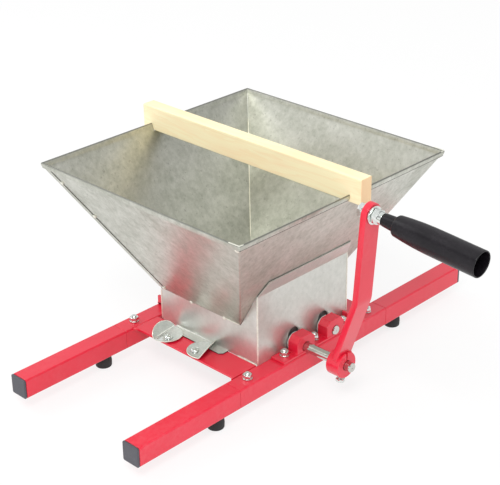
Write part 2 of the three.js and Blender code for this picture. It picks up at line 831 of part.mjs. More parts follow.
function roller(way, firstRing) {
  const hub = alongX(
    circle(0, 0, hubRadius, largeSteps),
    rollerStart - hubEnd,
    rollerStart + rollerLength + hubEnd - seatGap,
  );
  const rings = [];
  for (let i = 0; i < ringCount; i += 1) {
    const x = firstRing + i * ringPitch;
    rings.push(alongX(ringOutline(way), x, x + ringWidth));
  }
  const bore = alongX(hole(0, 0, shaftBore, largeSteps), -railX, railX);
  return geometryOf(cut(join(hub, ...rings), bore));
}

// Gears with involute flanks, a tooth of one in a gap of the other at rest
function gearOutline(phase) {
  const module = shaftSpacing / gearTeeth;
  const pitchRadius = shaftSpacing / 2;
  const baseRadius = pitchRadius * Math.cos(pressureAngle);
  const tipRadius = pitchRadius + gearAddendum * module;
  const rootRadius = pitchRadius - gearDedendum * module;
  const involute = (radius) => {
    const roll = Math.sqrt(Math.max((radius / baseRadius) ** 2 - 1, 0));
    return roll - Math.atan(roll);
  };
  const half = Math.PI / 2 / gearTeeth * (1 - 2 * gearBacklash) + involute(pitchRadius);
  const radii = [baseRadius, pitchRadius, tipRadius];
  const points = [];
  for (let i = 0; i < gearTeeth; i += 1) {
    const middle = (i + phase) * 2 * Math.PI / gearTeeth;
    const flank = radii.map((radius) => [radius, half - involute(radius)]);
    const spots = [
      [rootRadius, -half], ...flank.map(([radius, angle]) => [radius, -angle]),
      ...flank.reverse().map(([radius, angle]) => [radius, angle]), [rootRadius, half],
    ];
    spots.forEach(([radius, angle]) => {
      const at = middle + angle;
      points.push(new THREE.Vector2(radius * Math.cos(at), radius * Math.sin(at)));
    });
  }
  return distinct(points);
}

function gear(phase) {
  const x1 = chamberFarX - gearFromWall;
  const bore = hole(0, 0, shaftBore, largeSteps).reverse();
  return geometryOf(alongX(gearOutline(phase), x1 - gearFace, x1, bore));
}

function shaft(x1) {
  return geometryOf(turned([
    [-shaftEnd, 0], [-shaftEnd, shaftRadius - shaftNose], [-shaftEnd + shaftNose, shaftRadius],
    [x1 - shaftNose, shaftRadius], [x1, shaftRadius - shaftNose], [x1, 0],
  ]));
}

const driveLine = new THREE.Group();
driveLine.position.set(0, driveY, shaftZ);
const idlerLine = new THREE.Group();
idlerLine.position.set(0, idlerY, shaftZ);
scratter.add(driveLine, idlerLine);

place('drive_shaft', shaft(driveShaftReach), brightSteel, driveLine);
place('idler_shaft', shaft(shaftEnd), brightSteel, idlerLine);
place('drive_roller', roller(-1, rollerStart + ringPitch / 2), aluminium, driveLine);
place('idler_roller', roller(1, rollerStart), aluminium, idlerLine);
place('drive_gear', gear(0), castSteel, driveLine);
place('idler_gear', gear(0.5), castSteel, idlerLine);

// Crank arm: the bar's side view runs up from the hub, and its width is rounded at the top
function crankArm() {
  const top = new THREE.Vector2(armTopX, crankRadius);
  const beyond = top.clone().addScaledVector(
    new THREE.Vector2(Math.sin(armLean), Math.cos(armLean)),
    armWidth / 2,
  );
  const line = [
    new THREE.Vector2(armFootX, -armFootDrop),
    new THREE.Vector2(armBendX, armBendRise),
    beyond,
  ];
  const bar = alongY(bentStrip(line, armThickness, armBendRadius), -armWidth / 2, armWidth / 2);
  const half = armWidth / 2;
  const face = alongX([
    new THREE.Vector2(-half - overcut, -armWidth),
    new THREE.Vector2(half + overcut, -armWidth),
    ...arc(0, crankRadius, half, 0, Math.PI, largeSteps),
  ], 0, 2 * armBendX);
  const hubEndX = crankHubStart + crankHubLength;
  const hub = alongX(circle(0, 0, crankHubRadius, largeSteps), crankHubStart, hubEndX);
  const slot = block(hubBoltX, hubEndX + overcut, -crankHubSlot / 2, crankHubSlot / 2, 0, tube);
  const bore = alongX(hole(0, 0, shaftBore, largeSteps), 0, 2 * armBendX);
  const boltBore = alongZ(hole(hubBoltX, 0, boltRadius + seatGap), -tube, 0);
  const eyeShape = turn(alongX(hole(0, 0, spindleRadius + seatGap, largeSteps), -tube, tube), armLean);
  const eye = solid(eyeShape.translate(armTopX, 0, crankRadius));
  return geometryOf(cut(join(bar.intersect(face), hub), slot, bore, boltBore, eye));
}

function hubBolt() {
  const tipZ = -shaftRadius - seatGap;
  const headZ = tipZ - hubBoltLength;
  return geometryOf(join(
    alongZ(circle(0, 0, boltRadius), headZ, tipZ),
    alongZ(regular(6, boltHexAcross), headZ - boltHeadHeight, headZ),
  ));
}

place('crank_arm', crankArm(), paint, driveLine);
place('hub_bolt', hubBolt(), zinc, driveLine, hubBoltX);

// Everything on the spindle is drawn along X from the middle of the bar
const head = new THREE.Group();
head.position.set(armTopX, 0, crankRadius);
head.rotation.y = armLean;
driveLine.add(head);

const washerX = armThickness / 2 + seatGap;
const frontNutX = washerX + washerHeight + seatGap;
const gripX = frontNutX + frontNutHeight + nutCollar + seatGap;
const rearNutX = -armThickness / 2 - seatGap;
const spindleHeadX = gripX + gripFloor + seatGap;
const nutBore = spindleRadius + seatGap;

const spindleShape = geometryOf(join(
  alongX(circle(0, 0, spindleRadius, largeSteps), -spindleRear, spindleHeadX + spindleHead / 2),
  alongX(circle(0, 0, spindleHeadRadius, largeSteps), spindleHeadX, spindleHeadX + spindleHead),
));
place('grip_spindle', spindleShape, zinc, head);

const rearNutShape = geometryOf(cut(
  join(
    alongX(circle(0, 0, washerRadius, largeSteps), rearNutX - washerHeight, rearNutX),
    alongX(
      regular(6, nutAcross),
      rearNutX - washerHeight - rearNutHeight,
      rearNutX - washerHeight,
    ),
  ),
  alongX(hole(0, 0, nutBore, largeSteps), -tube, 0),
));
place('rear_nut', rearNutShape, zinc, head);

const washerShape = geometryOf(alongX(
  circle(0, 0, washerRadius, largeSteps),
  washerX,
  washerX + washerHeight,
  hole(0, 0, nutBore, largeSteps).reverse(),
));
place('front_washer', washerShape, zinc, head);

// The front nut has a round collar that the grip runs against
const frontNutEnd = frontNutX + frontNutHeight;
const frontNutShape = geometryOf(cut(
  join(
    alongX(regular(6, nutAcross), frontNutX, frontNutEnd),
    alongX(circle(0, 0, nutCollarRadius, largeSteps), frontNutX, frontNutEnd + nutCollar),
  ),
  alongX(hole(0, 0, nutBore, largeSteps), 0, 2 * tube),
));
place('front_nut', frontNutShape, zinc, head);

// The grip is slim at the neck, steps up to its body, swells towards the outer end, and is hollow
// from there to a floor that the spindle's head holds
function grip() {
  const end = gripLength;
  const bore = spindleRadius + runningGap;
  const step = gripNeckLength;
  const full = step + gripTaperLength;
  const hollow = gripRadius - gripWall;
  return geometryOf(turned([
    [0, bore], [gripFloor, bore], [gripFloor, hollow], [end - gripEdge, hollow],
    [end, hollow + gripEdge / 2], [end, gripRadius - gripEdge / 2], [end - gripEdge, gripRadius],
    [full + gripSwellLength, gripRadius], [full, gripRadius - gripSwell],
    [step + gripEdge, gripBodyRadius], [step, gripBodyRadius - gripEdge],
    [step, gripNeckRadius], [2 * gripEdge, gripNeckTip + gripEdge], [0, gripNeckTip],
  ].reverse()));
}

place('grip', grip(), gripPlastic, head, gripX);

// The whole breadth runs from the batten's far end to the grip's outer end
const breadth = new THREE.Box3().setFromObject(scratter);
scratter.position.x = -(breadth.min.x + breadth.max.x) / 2;

export default scratter;
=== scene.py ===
"""Looks of the apple scratter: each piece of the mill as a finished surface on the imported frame.

Shapes are worked out in millimetres and put into the meshes in metres. A shell is a pair of
(vertices, faces). Most shells are skins through rings of points; sheets are skins that get their
thickness from Solidify. X runs along the shafts towards the crank, Y along the rails, Z up.
"""

import json
import math

import bmesh
import bpy
import numpy as np
from mathutils import Matrix, Vector


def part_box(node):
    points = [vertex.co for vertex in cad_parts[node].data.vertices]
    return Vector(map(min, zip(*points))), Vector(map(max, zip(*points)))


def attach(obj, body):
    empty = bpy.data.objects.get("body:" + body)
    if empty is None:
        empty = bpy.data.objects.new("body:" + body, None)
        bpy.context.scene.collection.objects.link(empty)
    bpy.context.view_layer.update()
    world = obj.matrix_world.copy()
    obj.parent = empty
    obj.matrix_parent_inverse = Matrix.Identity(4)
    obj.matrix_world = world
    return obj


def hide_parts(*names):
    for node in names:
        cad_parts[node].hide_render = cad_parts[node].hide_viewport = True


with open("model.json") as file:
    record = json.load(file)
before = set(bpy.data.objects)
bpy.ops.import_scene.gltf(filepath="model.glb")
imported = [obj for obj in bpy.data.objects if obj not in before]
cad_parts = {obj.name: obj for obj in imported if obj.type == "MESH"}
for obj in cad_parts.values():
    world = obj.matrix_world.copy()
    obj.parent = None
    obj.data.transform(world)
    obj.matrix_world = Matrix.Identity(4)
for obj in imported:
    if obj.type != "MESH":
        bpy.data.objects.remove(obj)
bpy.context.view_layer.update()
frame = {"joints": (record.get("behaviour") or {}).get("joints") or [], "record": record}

record = frame["record"]
joints = {joint["name"]: joint for joint in frame["joints"]}
body_of = {node: body for body, nodes in record["behaviour"]["bodies"].items() for node in nodes}
slot_of = {row["node"]: row["material_slot"] for row in record["subparts"]}

MM = 0.001
SIDES = ("crank", "far")
ENDS = ("near", "rear")
LINES = ("drive", "idler")
WAY = {"crank": 1, "far": -1, "rear": 1, "near": -1}


def span(node):
    """Lowest and highest corner of a CAD node, in millimetres."""
    low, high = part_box(node)
    return np.array(low) / MM, np.array(high) / MM


def middle_of(node):
    """Middle of a CAD node, in millimetres."""
    low, high = span(node)
    return (low + high) / 2


def reach_of(node, axis, way=1):
    """The nearer and the farther end of a CAD node along an axis, measured the given way."""
    low, high = span(node)
    return (low[axis], high[axis]) if way > 0 else (-high[axis], -low[axis])


# Sizes of the real parts, in millimetres
SHEET = 1.2
SEAT_GAP = 0.3
TUBE_WALL = 1.5
TUBE_CORNER = 2.2
TUBE_EDGE = 0.5
PLUG_REACH = 40
PLUG_ROOT = 20
PLUG_CORNER = 0.8
CAP_PLATE = 3
CAP_CROWN = 1.1
CAP_STEM_WALL = 2
CAP_STEM_CORNER = 1.2
FOOT_STUD = 3
FOOT_HOLLOW = 3
CROSSBAR_THICK = 3
CROSSBAR_FILLET = 7
SHAFT_RADIUS = 6
SHAFT_BORE = SHAFT_RADIUS + SEAT_GAP
STRIP_THICK = 3
STRIP_NOTCH = 12.8
TAB_THICK = 4
TAB_HEIGHT = 12
BOSS_LENGTH = 15
BOSS_HALF = 15.5
BOSS_CHAMFER = 6.5
BOSS_LIP = 2.2
BOSS_SEAT = SHAFT_RADIUS + 1.4
BUSH_BORE = SHAFT_RADIUS + 0.25
BUSH_SLEEVE = SHAFT_RADIUS + 1.35
BUSH_FLANGE = 12.5
BUSH_FLANGE_THICK = 5.1
BUSH_BEVEL = 0.6
BOLT_RADIUS = 3
BOLT_HEX = 10
BOLT_HEAD = 4
BOLT_NUT = 5
BOLT_TAIL = 2
WASHER_RADIUS = 6
WASHER_HEIGHT = 1.2
NUT_HEX = 16
ARCH_HALF = 9.5
ARCH_RISE = 9
FLANGE_STANDOFF = 0.2
WALL_BEND = 2.2
FOOT_BEND = 2.0
HOPPER_FOOT_WIDTH = 138
HOPPER_SPREAD = 97
HOPPER_FOOT_HEIGHT = 45
CRANK_FLANGE = 25
FAR_FLANGE = 14
FLANGE_TAPER = 8
FOOT_FLANGE = 13
FOOT_FLANGE_X = (-50, 40)
FOOT_FLANGE_CHAMFER = 4
HEM_HEIGHT = 6.5
HEM_GAP = 0.5
HEM_EDGE = 0.3
LIP_TURN = 13
LAP_WIDTH = 10
LAP_THICK = 0.55
BUCKLE = 0.6
TACK_SHARES = (0.86, 0.6, 0.02)
FOOT_TACKS_X = (-23, 34)

# Places, worked out from the frame
rail_low, rail_high = span("rail_crank")
RAIL_X = {side: middle_of(f"rail_{side}")[0] for side in SIDES}
MIDDLE_X = (RAIL_X["crank"] + RAIL_X["far"]) / 2
TUBE = rail_high[0] - rail_low[0]
PLUG = TUBE - 2 * TUBE_WALL - 2 * SEAT_GAP
RAIL_LOW, RAIL_TOP = rail_low[2], rail_high[2]
RAIL_Z = (RAIL_LOW + RAIL_TOP) / 2
RAIL_END = rail_high[1]
DRIVE_Y, SHAFT_Z = (value / MM for value in joints["crank_turn"]["pos_m"][1:])
IDLER_Y = joints["idler_turn"]["pos_m"][1] / MM
LINE_Y = {"drive": DRIVE_Y, "idler": IDLER_Y}
SHAFT_GAP = IDLER_Y - DRIVE_Y
SHAFTS_Y = (DRIVE_Y + IDLER_Y) / 2
CHAMBER_CRANK = span("chamber_wall_crank")[0][0] + SHEET
CHAMBER_FAR = span("chamber_wall_far")[1][0] - SHEET
CHAMBER_HALF = span("chamber_wall_crank")[1][1]
FOOT_Z = RAIL_TOP + HOPPER_FOOT_HEIGHT
RIM_Z = span("hopper")[1][2]
SPREAD_RATE = HOPPER_SPREAD / (RIM_Z - FOOT_Z)
LEAN = math.atan(SPREAD_RATE)
HOPPER_CRANK = CHAMBER_FAR + HOPPER_FOOT_WIDTH
HOPPER_MIDDLE = (HOPPER_CRANK + CHAMBER_FAR) / 2
CRANK_FOLD_Z = FOOT_Z + (CHAMBER_CRANK - HOPPER_CRANK) / SPREAD_RATE
BATTEN_LOW, BATTEN_HIGH = span("batten")
BATTEN_MIDDLE = (BATTEN_LOW + BATTEN_HIGH) / 2
BATTEN_HALF = (BATTEN_HIGH[0] - BATTEN_LOW[0]) / 2
NOTCH_Y = BATTEN_LOW[1] - SEAT_GAP, BATTEN_HIGH[1] + SEAT_GAP
NOTCH_Z = BATTEN_LOW[2] - SEAT_GAP


# Shells

def joined(*shells):
    """One shell of several, their faces numbered on."""
    vertices, faces, count = [], [], 0
    for points, polygons in shells:
        vertices.append(points)
        faces += [tuple(index + count for index in polygon) for polygon in polygons]
        count += len(points)
    return np.concatenate(vertices), faces


def skin(rings, closed=False, ends=True, loops=True):
    """A skin through rings of points, an array (rows, columns, 3). Loops close each ring, closed
    joins the last ring to the first, and ends covers an open skin with a polygon at each end."""
    rows, columns = rings.shape[:2]
    row = np.arange(rows if closed else rows - 1)[:, None]
    column = np.arange(columns if loops else columns - 1)
    here, after = row * columns, (row + 1) % rows * columns
    beside = (column + 1) % columns
    corners = (here + column, here + beside, after + beside, after + column)
    faces = [tuple(face) for face in np.stack(corners, -1).reshape(-1, 4).tolist()]
    if ends and not closed and loops:
        faces += [tuple(range(columns)), tuple(range((rows - 1) * columns, rows * columns))]
    return rings.reshape(-1, 3), faces


def one_face(ring):
    """A ring of points with one polygon in it."""
    return ring, [tuple(range(len(ring)))]


def circle_angles(steps, turn=0.0):
    """Evenly spaced angles of a full circle."""
    return np.linspace(0, 2 * np.pi, steps, endpoint=False) + turn


def polar(radius, angle, height=None):
    """Points (r cos a, r sin a), or (r cos a, r sin a, z) where a height is given."""
    x, y = radius * np.cos(angle), radius * np.sin(angle)
    return np.stack((x, y) if height is None else (x, y, height + 0 * x), -1)


def spun(points, angle):
    """Flat points turned about the origin: (x cos a - y sin a, x sin a + y cos a)."""
    c, s = math.cos(angle), math.sin(angle)
    return points @ np.array(((c, s), (-s, c)))


def unit(vectors):
    """Vectors of length one, along the last axis."""
    return vectors / np.linalg.norm(vectors, axis=-1, keepdims=True)


def lathe(profile, steps=64, radius_at=None):
    """A profile of (height, radius) pairs turned about Z: point = (r cos a, r sin a, z). radius_at,
    if given, changes the radii by angle."""
    heights, radii = np.array(profile, float).T[:, :, None]
    angles = circle_angles(steps)
    if radius_at is not None:
        radii = radius_at(radii, angles)
    return skin(polar(radii, angles, heights), ends=False)


def rounded_profile(points, radius, steps=4):
    """The polygon's corners replaced by arcs: a point slides along a quadratic curve from side to
    side. One more point on either side of each arc keeps the sides straight in the shading."""
    points = np.array(points, float)
    made = [points[:1]]
    for before, corner, after in zip(points[:-2], points[1:-1], points[2:]):
        into, out = corner - before, after - corner
        into_length, out_length = np.linalg.norm(into), np.linalg.norm(out)
        reach = min(radius, into_length / 2.2, out_length / 2.2)
        start = corner - into / into_length * reach
        end = corner + out / out_length * reach
        made.append(start[None] - into * min(0.04, 0.3 * reach / into_length))
        made.append(curve(start, corner, end, steps + 1))
        made.append(end[None] + out * min(0.04, 0.3 * reach / out_length))
    made.append(points[-1:])
    return np.concatenate(made)


def curve(first, pull, last, steps):
    """A curve from a to c, drawn towards b: (1 - t)^2 a + 2 t (1 - t) b + t^2 c."""
    t = np.linspace(0, 1, steps)[:, None]
    return (1 - t) ** 2 * first + 2 * t * (1 - t) * pull + t ** 2 * last


def inset(outline, amount):
    """The outline moved inwards along each corner's mitre: n = (n1 + n2) / (1 + n1 . n2)."""
    after = unit(np.roll(outline, -1, 0) - outline)
    before = np.roll(after, 1, 0)
    first, second = (np.stack((side[:, 1], -side[:, 0]), -1) for side in (before, after))
    mitre = (first + second) / (1 + (first * second).sum(1, keepdims=True)).clip(0.3)
    return outline - amount * mitre


def level(outline, height):
    """A flat outline at a height."""
    return np.column_stack((outline, np.full(len(outline), height)))


def edge_rows(low, high, edge):
    """Heights and insets of a body's side with both edges rounded by a quarter circle, and one more
    row on either side of the round, which keeps the flats flat in the shading."""
    turn = np.linspace(0, np.pi / 2, 5)
    rise = edge * np.concatenate(((0,), 1 - np.cos(turn), (1.3,)))
    pull = edge * np.concatenate(((1.3,), 1 - np.sin(turn), (0,)))
    heights = np.concatenate((low + rise, (high - rise)[::-1]))
    return list(zip(heights, np.concatenate((pull, pull[::-1]))))


def side_rows(outline, rows):
    """The outline at each row's height, moved inwards by the row's inset."""
    return [level(inset(outline, pull), height) for height, pull in rows]


def prism(outline, low, high, edge):
    """The outline carried along Z from low to high, with rounded edges and flat ends."""
    return skin(np.array(side_rows(outline, edge_rows(low, high, edge))))


def pipe(outer, inner, low, high, edge):
    """A prism with a hole: the skin runs up the outer outline and back down the inner one."""
    rows = edge_rows(low, high, edge)
    inside = side_rows(inner, [(height, -pull) for height, pull in rows])
    return skin(np.array(side_rows(outer, rows) + inside[::-1]), closed=True)


def flat_radius(angles, sides):
    """Radius at each angle of an outline of flat sides, each given as (direction, distance): it is
    1 / max(cos(a - direction) / distance)."""
    return 1 / np.max([np.cos(angles - math.radians(way)) / distance for way, distance in sides], 0)


def rounded_box(width, depth, radius, steps=5, beside=0.2):
    """Outline of a rectangle about the origin with a quarter circle at each corner, and a point on
    the straight sides just before and after each of them."""
    arc = polar(1, np.linspace(0, np.pi / 2, steps + 1))
    if beside:
        arc = np.concatenate(([(1, -beside)], arc, [(-beside, 1)]))
    reach = (width / 2 - radius, depth / 2 - radius)
    centres = np.array([(1, 1), (-1, 1), (-1, -1), (1, -1)]) * reach
    corners = [middle + spun(radius * arc, k * np.pi / 2) for k, middle in enumerate(centres)]
    return np.concatenate(corners)


def hexagon(across, low, high, turn=0.0):
    """A hexagon nut or head: r(a) is that of the flats, kept in a 30-degree cone at both ends."""
    angles = circle_angles(96)
    flats = flat_radius(angles, [(60 * k, across / 2) for k in range(6)])
    face, slope = across * 0.475, math.tan(math.radians(60))
    rise = np.linspace(0, (flats.max() - face) / slope, 5)
    heights = np.concatenate((low + rise, (high - rise)[::-1]))[:, None]
    cone = face + slope * np.concatenate((rise, rise[::-1]))[:, None]
    return skin(polar(np.minimum(flats, cone), angles + turn, heights))


def stem(radius, low, high, steps=24):
    """A plain round stem whose ends lie inside other shells."""
    return lathe([(low, 0), (low, radius), (high, radius), (high, 0)], steps)


def washer(radius, low, high):
    """A plain disc whose rims are rounded: its hole is filled by what goes through it."""
    rim = rounded_profile([(low, 0.1), (low, radius), (high, radius), (high, 0.1)], 0.25)
    return lathe([(low, 0), *rim, (high, 0)], 48)


def thread(radius, low, high, pitch=1.0, depth=0.45, steps=32):
    """A screw thread: r(a, z) = radius - depth times a triangle wave of z / pitch - a / 2 pi, run
    out to a bevel at the high end."""
    rows_a_turn = 8
    heights = np.linspace(low, high, int((high - low) / pitch * rows_a_turn) + 2)[:, None]
    angles = circle_angles(steps)
    wave = np.abs(2 * ((heights / pitch - angles / (2 * np.pi)) % 1) - 1)
    radii = np.minimum(radius - depth * wave, radius - depth + (high - heights) * 0.9)
    return skin(polar(radii, angles, heights))


def along(axis, shell):
    """The same shell with its own Z turned to the named axis."""
    order = {"X": (2, 0, 1), "Y": (0, 2, 1)}[axis]
    return shell[0][:, order], shell[1]


def moved(shell, x, y=0.0, z=0.0):
    return shell[0] + (x, y, z), shell[1]


def over(node, *shells):
    """Shells drawn about Z, put over or under the middle of a CAD node."""
    x, y, _ = middle_of(node)
    return [moved(shell, x, y) for shell in shells]


def scaled(shell, x=1.0, y=1.0, z=1.0):
    return shell[0] * (x, y, z), shell[1]


def turned(shell, degrees):
    """The shell turned about Z."""
    matrix = np.array(Matrix.Rotation(math.radians(degrees), 3, "Z"))
    return shell[0] @ matrix.T, shell[1]


def bent_line(points, radius, steps=5):
    """A line through the points with each bend rounded by an arc of the given radius."""
    made = [np.array(points[0], float)]
    for before, corner, after in zip(points[:-2], points[1:-1], points[2:]):
        into, out = unit(np.subtract(corner, before)), unit(np.subtract(after, corner))
        angle = math.atan2(into[0] * out[1] - into[1] * out[0], into @ out)
        start = corner - into * radius * math.tan(abs(angle) / 2)
        middle = start + np.array((-into[1], into[0])) * math.copysign(radius, angle)
        made += [middle + spun(start - middle, angle * k / steps) for k in range(steps + 1)]
    made.append(np.array(points[-1], float))
    return np.array(made)


def bead_places(length, radius, ripple):
    """Distances along a bead at which it has a ring, and how full it is there. Without a ripple
    these are the path's own points and one beside each end."""
    whole = length[-1]
    if ripple:
        at = np.linspace(0, whole, max(int(whole / (radius * 0.45)), 8))
        return at, np.sqrt(np.clip(1 - (2 * at / whole - 1) ** 12, 0.02, 1))
    kept = length[(length > radius * 1.2) & (length < whole - radius * 1.2)]
    at = np.concatenate(((0, radius), kept, (whole - radius, whole)))
    return at, np.where((at == 0) | (at == whole), 0.2, 1.0)


def bead(path, radius, ripple=0.18, steps=10):
    """A weld bead along a path: circles of the radius, swelling and shrinking as (1 + ripple sin).
    Without a ripple it is a plain round line."""
    path = np.array(path, float)
    length = np.concatenate(((0,), np.cumsum(np.linalg.norm(np.diff(path, axis=0), axis=1))))
    at, full = bead_places(length, radius, ripple)
    middle = np.stack([np.interp(at, length, path[:, k]) for k in range(3)], -1)
    ahead = unit(np.gradient(middle, axis=0))
    side = unit(np.cross(ahead, (0.31, 0.22, 0.92)))
    up = np.cross(side, ahead)
    swell = radius * full * (1 + ripple * np.sin(at * 2.6 / radius))
    angles = circle_angles(steps)[:, None]
    around = np.cos(angles) * side[:, None] + np.sin(angles) * up[:, None]
    return skin(middle[:, None] + swell[:, None, None] * around)


def widened(line, half, columns):
    """A strip of points: each point (p, q) of the line spread out to (p, -half to half, q)."""
    first, second = (np.repeat(line[:, k:k + 1], columns, 1) for k in (0, 1))
    return np.stack((first, half[:, None] * np.linspace(-1, 1, columns), second), -1)


# Node groups and materials

def link(tree, source, socket):
    """Joins a node's output to a socket, or sets the socket to a plain value."""
    if isinstance(source, bpy.types.NodeSocket):
        tree.links.new(source, socket)
    else:
        socket.default_value = source


def step(tree, kind, inputs, **settings):
    """Adds a node, sets its settings, and gives its inputs values or links."""
    node = tree.nodes.new(kind)
    for name, value in settings.items():
        setattr(node, name, value)
    for name, value in inputs.items():
        link(tree, value, node.inputs[name])
    return node


def ramp(tree, value, low, high, out_low=0.0, out_high=1.0):
    """Maps low..high to out_low..out_high, held inside."""
    node = step(tree, "ShaderNodeMapRange", {0: value, 1: low, 2: high, 3: out_low, 4: out_high})
    return node.outputs[0]


def arithmetic(tree, operation, first, second=0.0):
    return step(tree, "ShaderNodeMath", {0: first, 1: second}, operation=operation).outputs[0]


def times(tree, first, second):
    return arithmetic(tree, "MULTIPLY", first, second)


def plus(tree, first, second):
    return arithmetic(tree, "ADD", first, second)


def axes(tree, vector):
    """The X, Y and Z of a vector."""
    return step(tree, "ShaderNodeSeparateXYZ", {0: vector}).outputs


def noise(tree, vector, scale, detail, rough=0.55):
    inputs = {"Vector": vector, "Scale": scale, "Detail": detail, "Roughness": rough}
    return step(tree, "ShaderNodeTexNoise", inputs).outputs["Fac"]


def drawn_noise(tree, vector, scales, detail=4.0):
    """Noise with a scale of its own along each axis, so that it is drawn out along the smallest."""
    pressed = step(tree, "ShaderNodeMapping", {"Vector": vector, "Scale": scales}).outputs[0]
    return noise(tree, pressed, 1.0, detail)


def group(name, outputs, fill):
    """A node group fed with coordinates and a scale, and filled by a function of its tree."""
    tree = bpy.data.node_groups.new(name, "ShaderNodeTree")
    tree.interface.new_socket("Vector", in_out="INPUT", socket_type="NodeSocketVector")
    scale = tree.interface.new_socket("Scale", in_out="INPUT", socket_type="NodeSocketFloat")
    scale.default_value = 20.0
    for label in outputs:
        tree.interface.new_socket(label, in_out="OUTPUT", socket_type="NodeSocketFloat")
    start, end = tree.nodes.new("NodeGroupInput"), tree.nodes.new("NodeGroupOutput")
    for label, value in fill(tree, *start.outputs[:2]).items():
        tree.links.new(value, end.inputs[label])
    return tree


def fill_mottle(tree, place, scale):
    """Clouds, finer blotches and small dark specks, as on rolled sheet."""
    clouds = noise(tree, place, scale, 5.0, 0.6)
    blotches = noise(tree, place, times(tree, scale, 5.3), 6.0, 0.65)
    specks = noise(tree, place, times(tree, scale, 11.0), 3.0, 0.5)
    both = plus(tree, times(tree, clouds, 0.45), times(tree, blotches, 0.55))
    dark = ramp(tree, specks, 0.62, 0.72)
    tone = ramp(tree, both, 0.36, 0.64)
    return {"Tone": tone, "Specks": dark, "Height": blotches}


def fill_grain(tree, place, scale):
    """Fine lines along X: noise on coordinates pressed together across the grain."""
    inputs = {"Vector": place, "Scale": (0.04, 1.0, 1.0)}
    pressed = step(tree, "ShaderNodeMapping", inputs).outputs[0]
    lines = noise(tree, pressed, scale, 6.0, 0.7)
    return {"Lines": ramp(tree, lines, 0.3, 0.7), "Height": lines}


def fill_soil(tree, place, scale):
    """Broad, faint dust and handling marks."""
    broad = noise(tree, place, scale, 3.0, 0.6)
    fine = noise(tree, place, times(tree, scale, 14.0), 4.0, 0.6)
    return {"Mask": times(tree, ramp(tree, broad, 0.4, 0.7), ramp(tree, fine, 0.35, 0.7))}


mottle = group("mottle", ("Tone", "Specks", "Height"), fill_mottle)
grain = group("grain", ("Lines", "Height"), fill_grain)
soil = group("soil", ("Mask",), fill_soil)


class Finish:
    """A material with its Principled shader and the object's own coordinates."""

    def __init__(self, name, **values):
        self.name = name
        self.material = bpy.data.materials.new(name)
        self.material.use_nodes = True
        self.tree = self.material.node_tree
        self.shader = self.tree.nodes["Principled BSDF"]
        self.place = self.tree.nodes.new("ShaderNodeTexCoord").outputs["Object"]
        for label, value in values.items():
            self.shader.inputs[label.replace("_", " ")].default_value = value

    def use(self, tree, scale):
        """The outputs of a node group, fed with the object's coordinates."""
        inputs = {"Vector": self.place, "Scale": scale}
        return step(self.tree, "ShaderNodeGroup", inputs, node_tree=tree).outputs

    def blend(self, mask, first, second):
        """A colour from first to second as the mask goes from 0 to 1."""
        inputs = {"Factor": mask, "A": first, "B": second}
        return step(self.tree, "ShaderNodeMix", inputs, data_type="RGBA").outputs["Result"]

    def part(self, mask, share):
        """A mask held to a share of its strength."""
        return ramp(self.tree, mask, 0.0, 1.0, 0.0, share)

    def tint(self, mask, first, second):
        """The surface's colour, from first to second as the mask goes from 0 to 1."""
        link(self.tree, self.blend(mask, first, second), self.shader.inputs["Base Color"])

    def roughen(self, mask, first, second):
        """The surface's roughness, from first to second as the mask goes from 0 to 1."""
        value = ramp(self.tree, mask, 0.0, 1.0, first, second)
        link(self.tree, value, self.shader.inputs["Roughness"])

    def relief(self, height, strength, distance):
        """Small bumps from a height, which stands out by the distance."""
        inputs = {"Height": height, "Strength": strength, "Distance": distance}
        made = step(self.tree, "ShaderNodeBump", inputs)
        link(self.tree, made.outputs["Normal"], self.shader.inputs["Normal"])


def colour(red, green, blue):
    """Linear colour from the eight-bit values that a screen shows."""
    shown = (red, green, blue)
    linear = [((c / 255 + 0.055) / 1.055) ** 2.4 if c > 10 else c / 255 / 12.92 for c in shown]
    return (*linear, 1.0)


def red_paint():
    """Glossy powder coat: a faint orange peel under a clear skin, and dust on it."""
    finish = Finish("red_paint", Coat_Weight=0.35, Coat_Roughness=0.08)
    tree, place = finish.tree, finish.place
    tone = ramp(tree, noise(tree, place, 9.0, 3.0), 0.35, 0.65)
    base = finish.blend(tone, colour(221, 15, 49), colour(229, 24, 58))
    dust = finish.use(soil, 12.0)["Mask"]
    finish.tint(finish.part(dust, 0.12), base, colour(230, 150, 155))
    finish.roughen(dust, 0.3, 0.46)
    finish.relief(noise(tree, place, 420.0, 2.0), 0.10, 0.0004)
    return finish


def galvanised(name, dark, light, dull, clear, specks, metallic, rim_z=None):
    """Galvanised sheet: cloudy zinc with dark specks and lines drawn up it, satin, and dulled by
    its oxide. The topmost fold, at rim_z, is painted darker as shade on the roll."""
    finish = Finish(name, Metallic=metallic)
    tree, place = finish.tree, finish.place
    cloud = finish.use(mottle, 26.0)
    drawn = drawn_noise(tree, place, (380.0, 380.0, 9.0))
    base = finish.blend(cloud["Tone"], dark, light)
    base = finish.blend(finish.part(cloud["Specks"], specks), base, colour(128, 126, 116))
    lines, line_tone = ramp(tree, drawn, 0.45, 0.75, 0.0, 0.1), colour(232, 232, 226)
    if rim_z:
        base = finish.blend(lines, base, line_tone)
        # Painted shade: the rim's topmost 1.5 mm is tinted darker.
        top = ramp(tree, axes(tree, place)["Z"], (rim_z - 1.5) * MM, (rim_z - 0.9) * MM)
        finish.tint(top, base, colour(134, 135, 128))
    else:
        finish.tint(lines, base, line_tone)
    finish.roughen(cloud["Tone"], dull, clear)
    finish.relief(noise(tree, place, 13.0, 2.0), 0.3, 0.004)
    return finish


def cut_edge_and_gap_shade():
    """The sheared edge of the sheet: dull, dark and slightly rough. Laid on thin lines, the same
    dark colour is painted shade in gaps.
    """
    finish = Finish("cut_edge_and_gap_shade", Metallic=0.4)
    cloud = finish.use(mottle, 180.0)
    finish.tint(cloud["Tone"], colour(48, 46, 43), colour(84, 82, 77))
    finish.roughen(cloud["Tone"], 0.65, 0.5)
    return finish


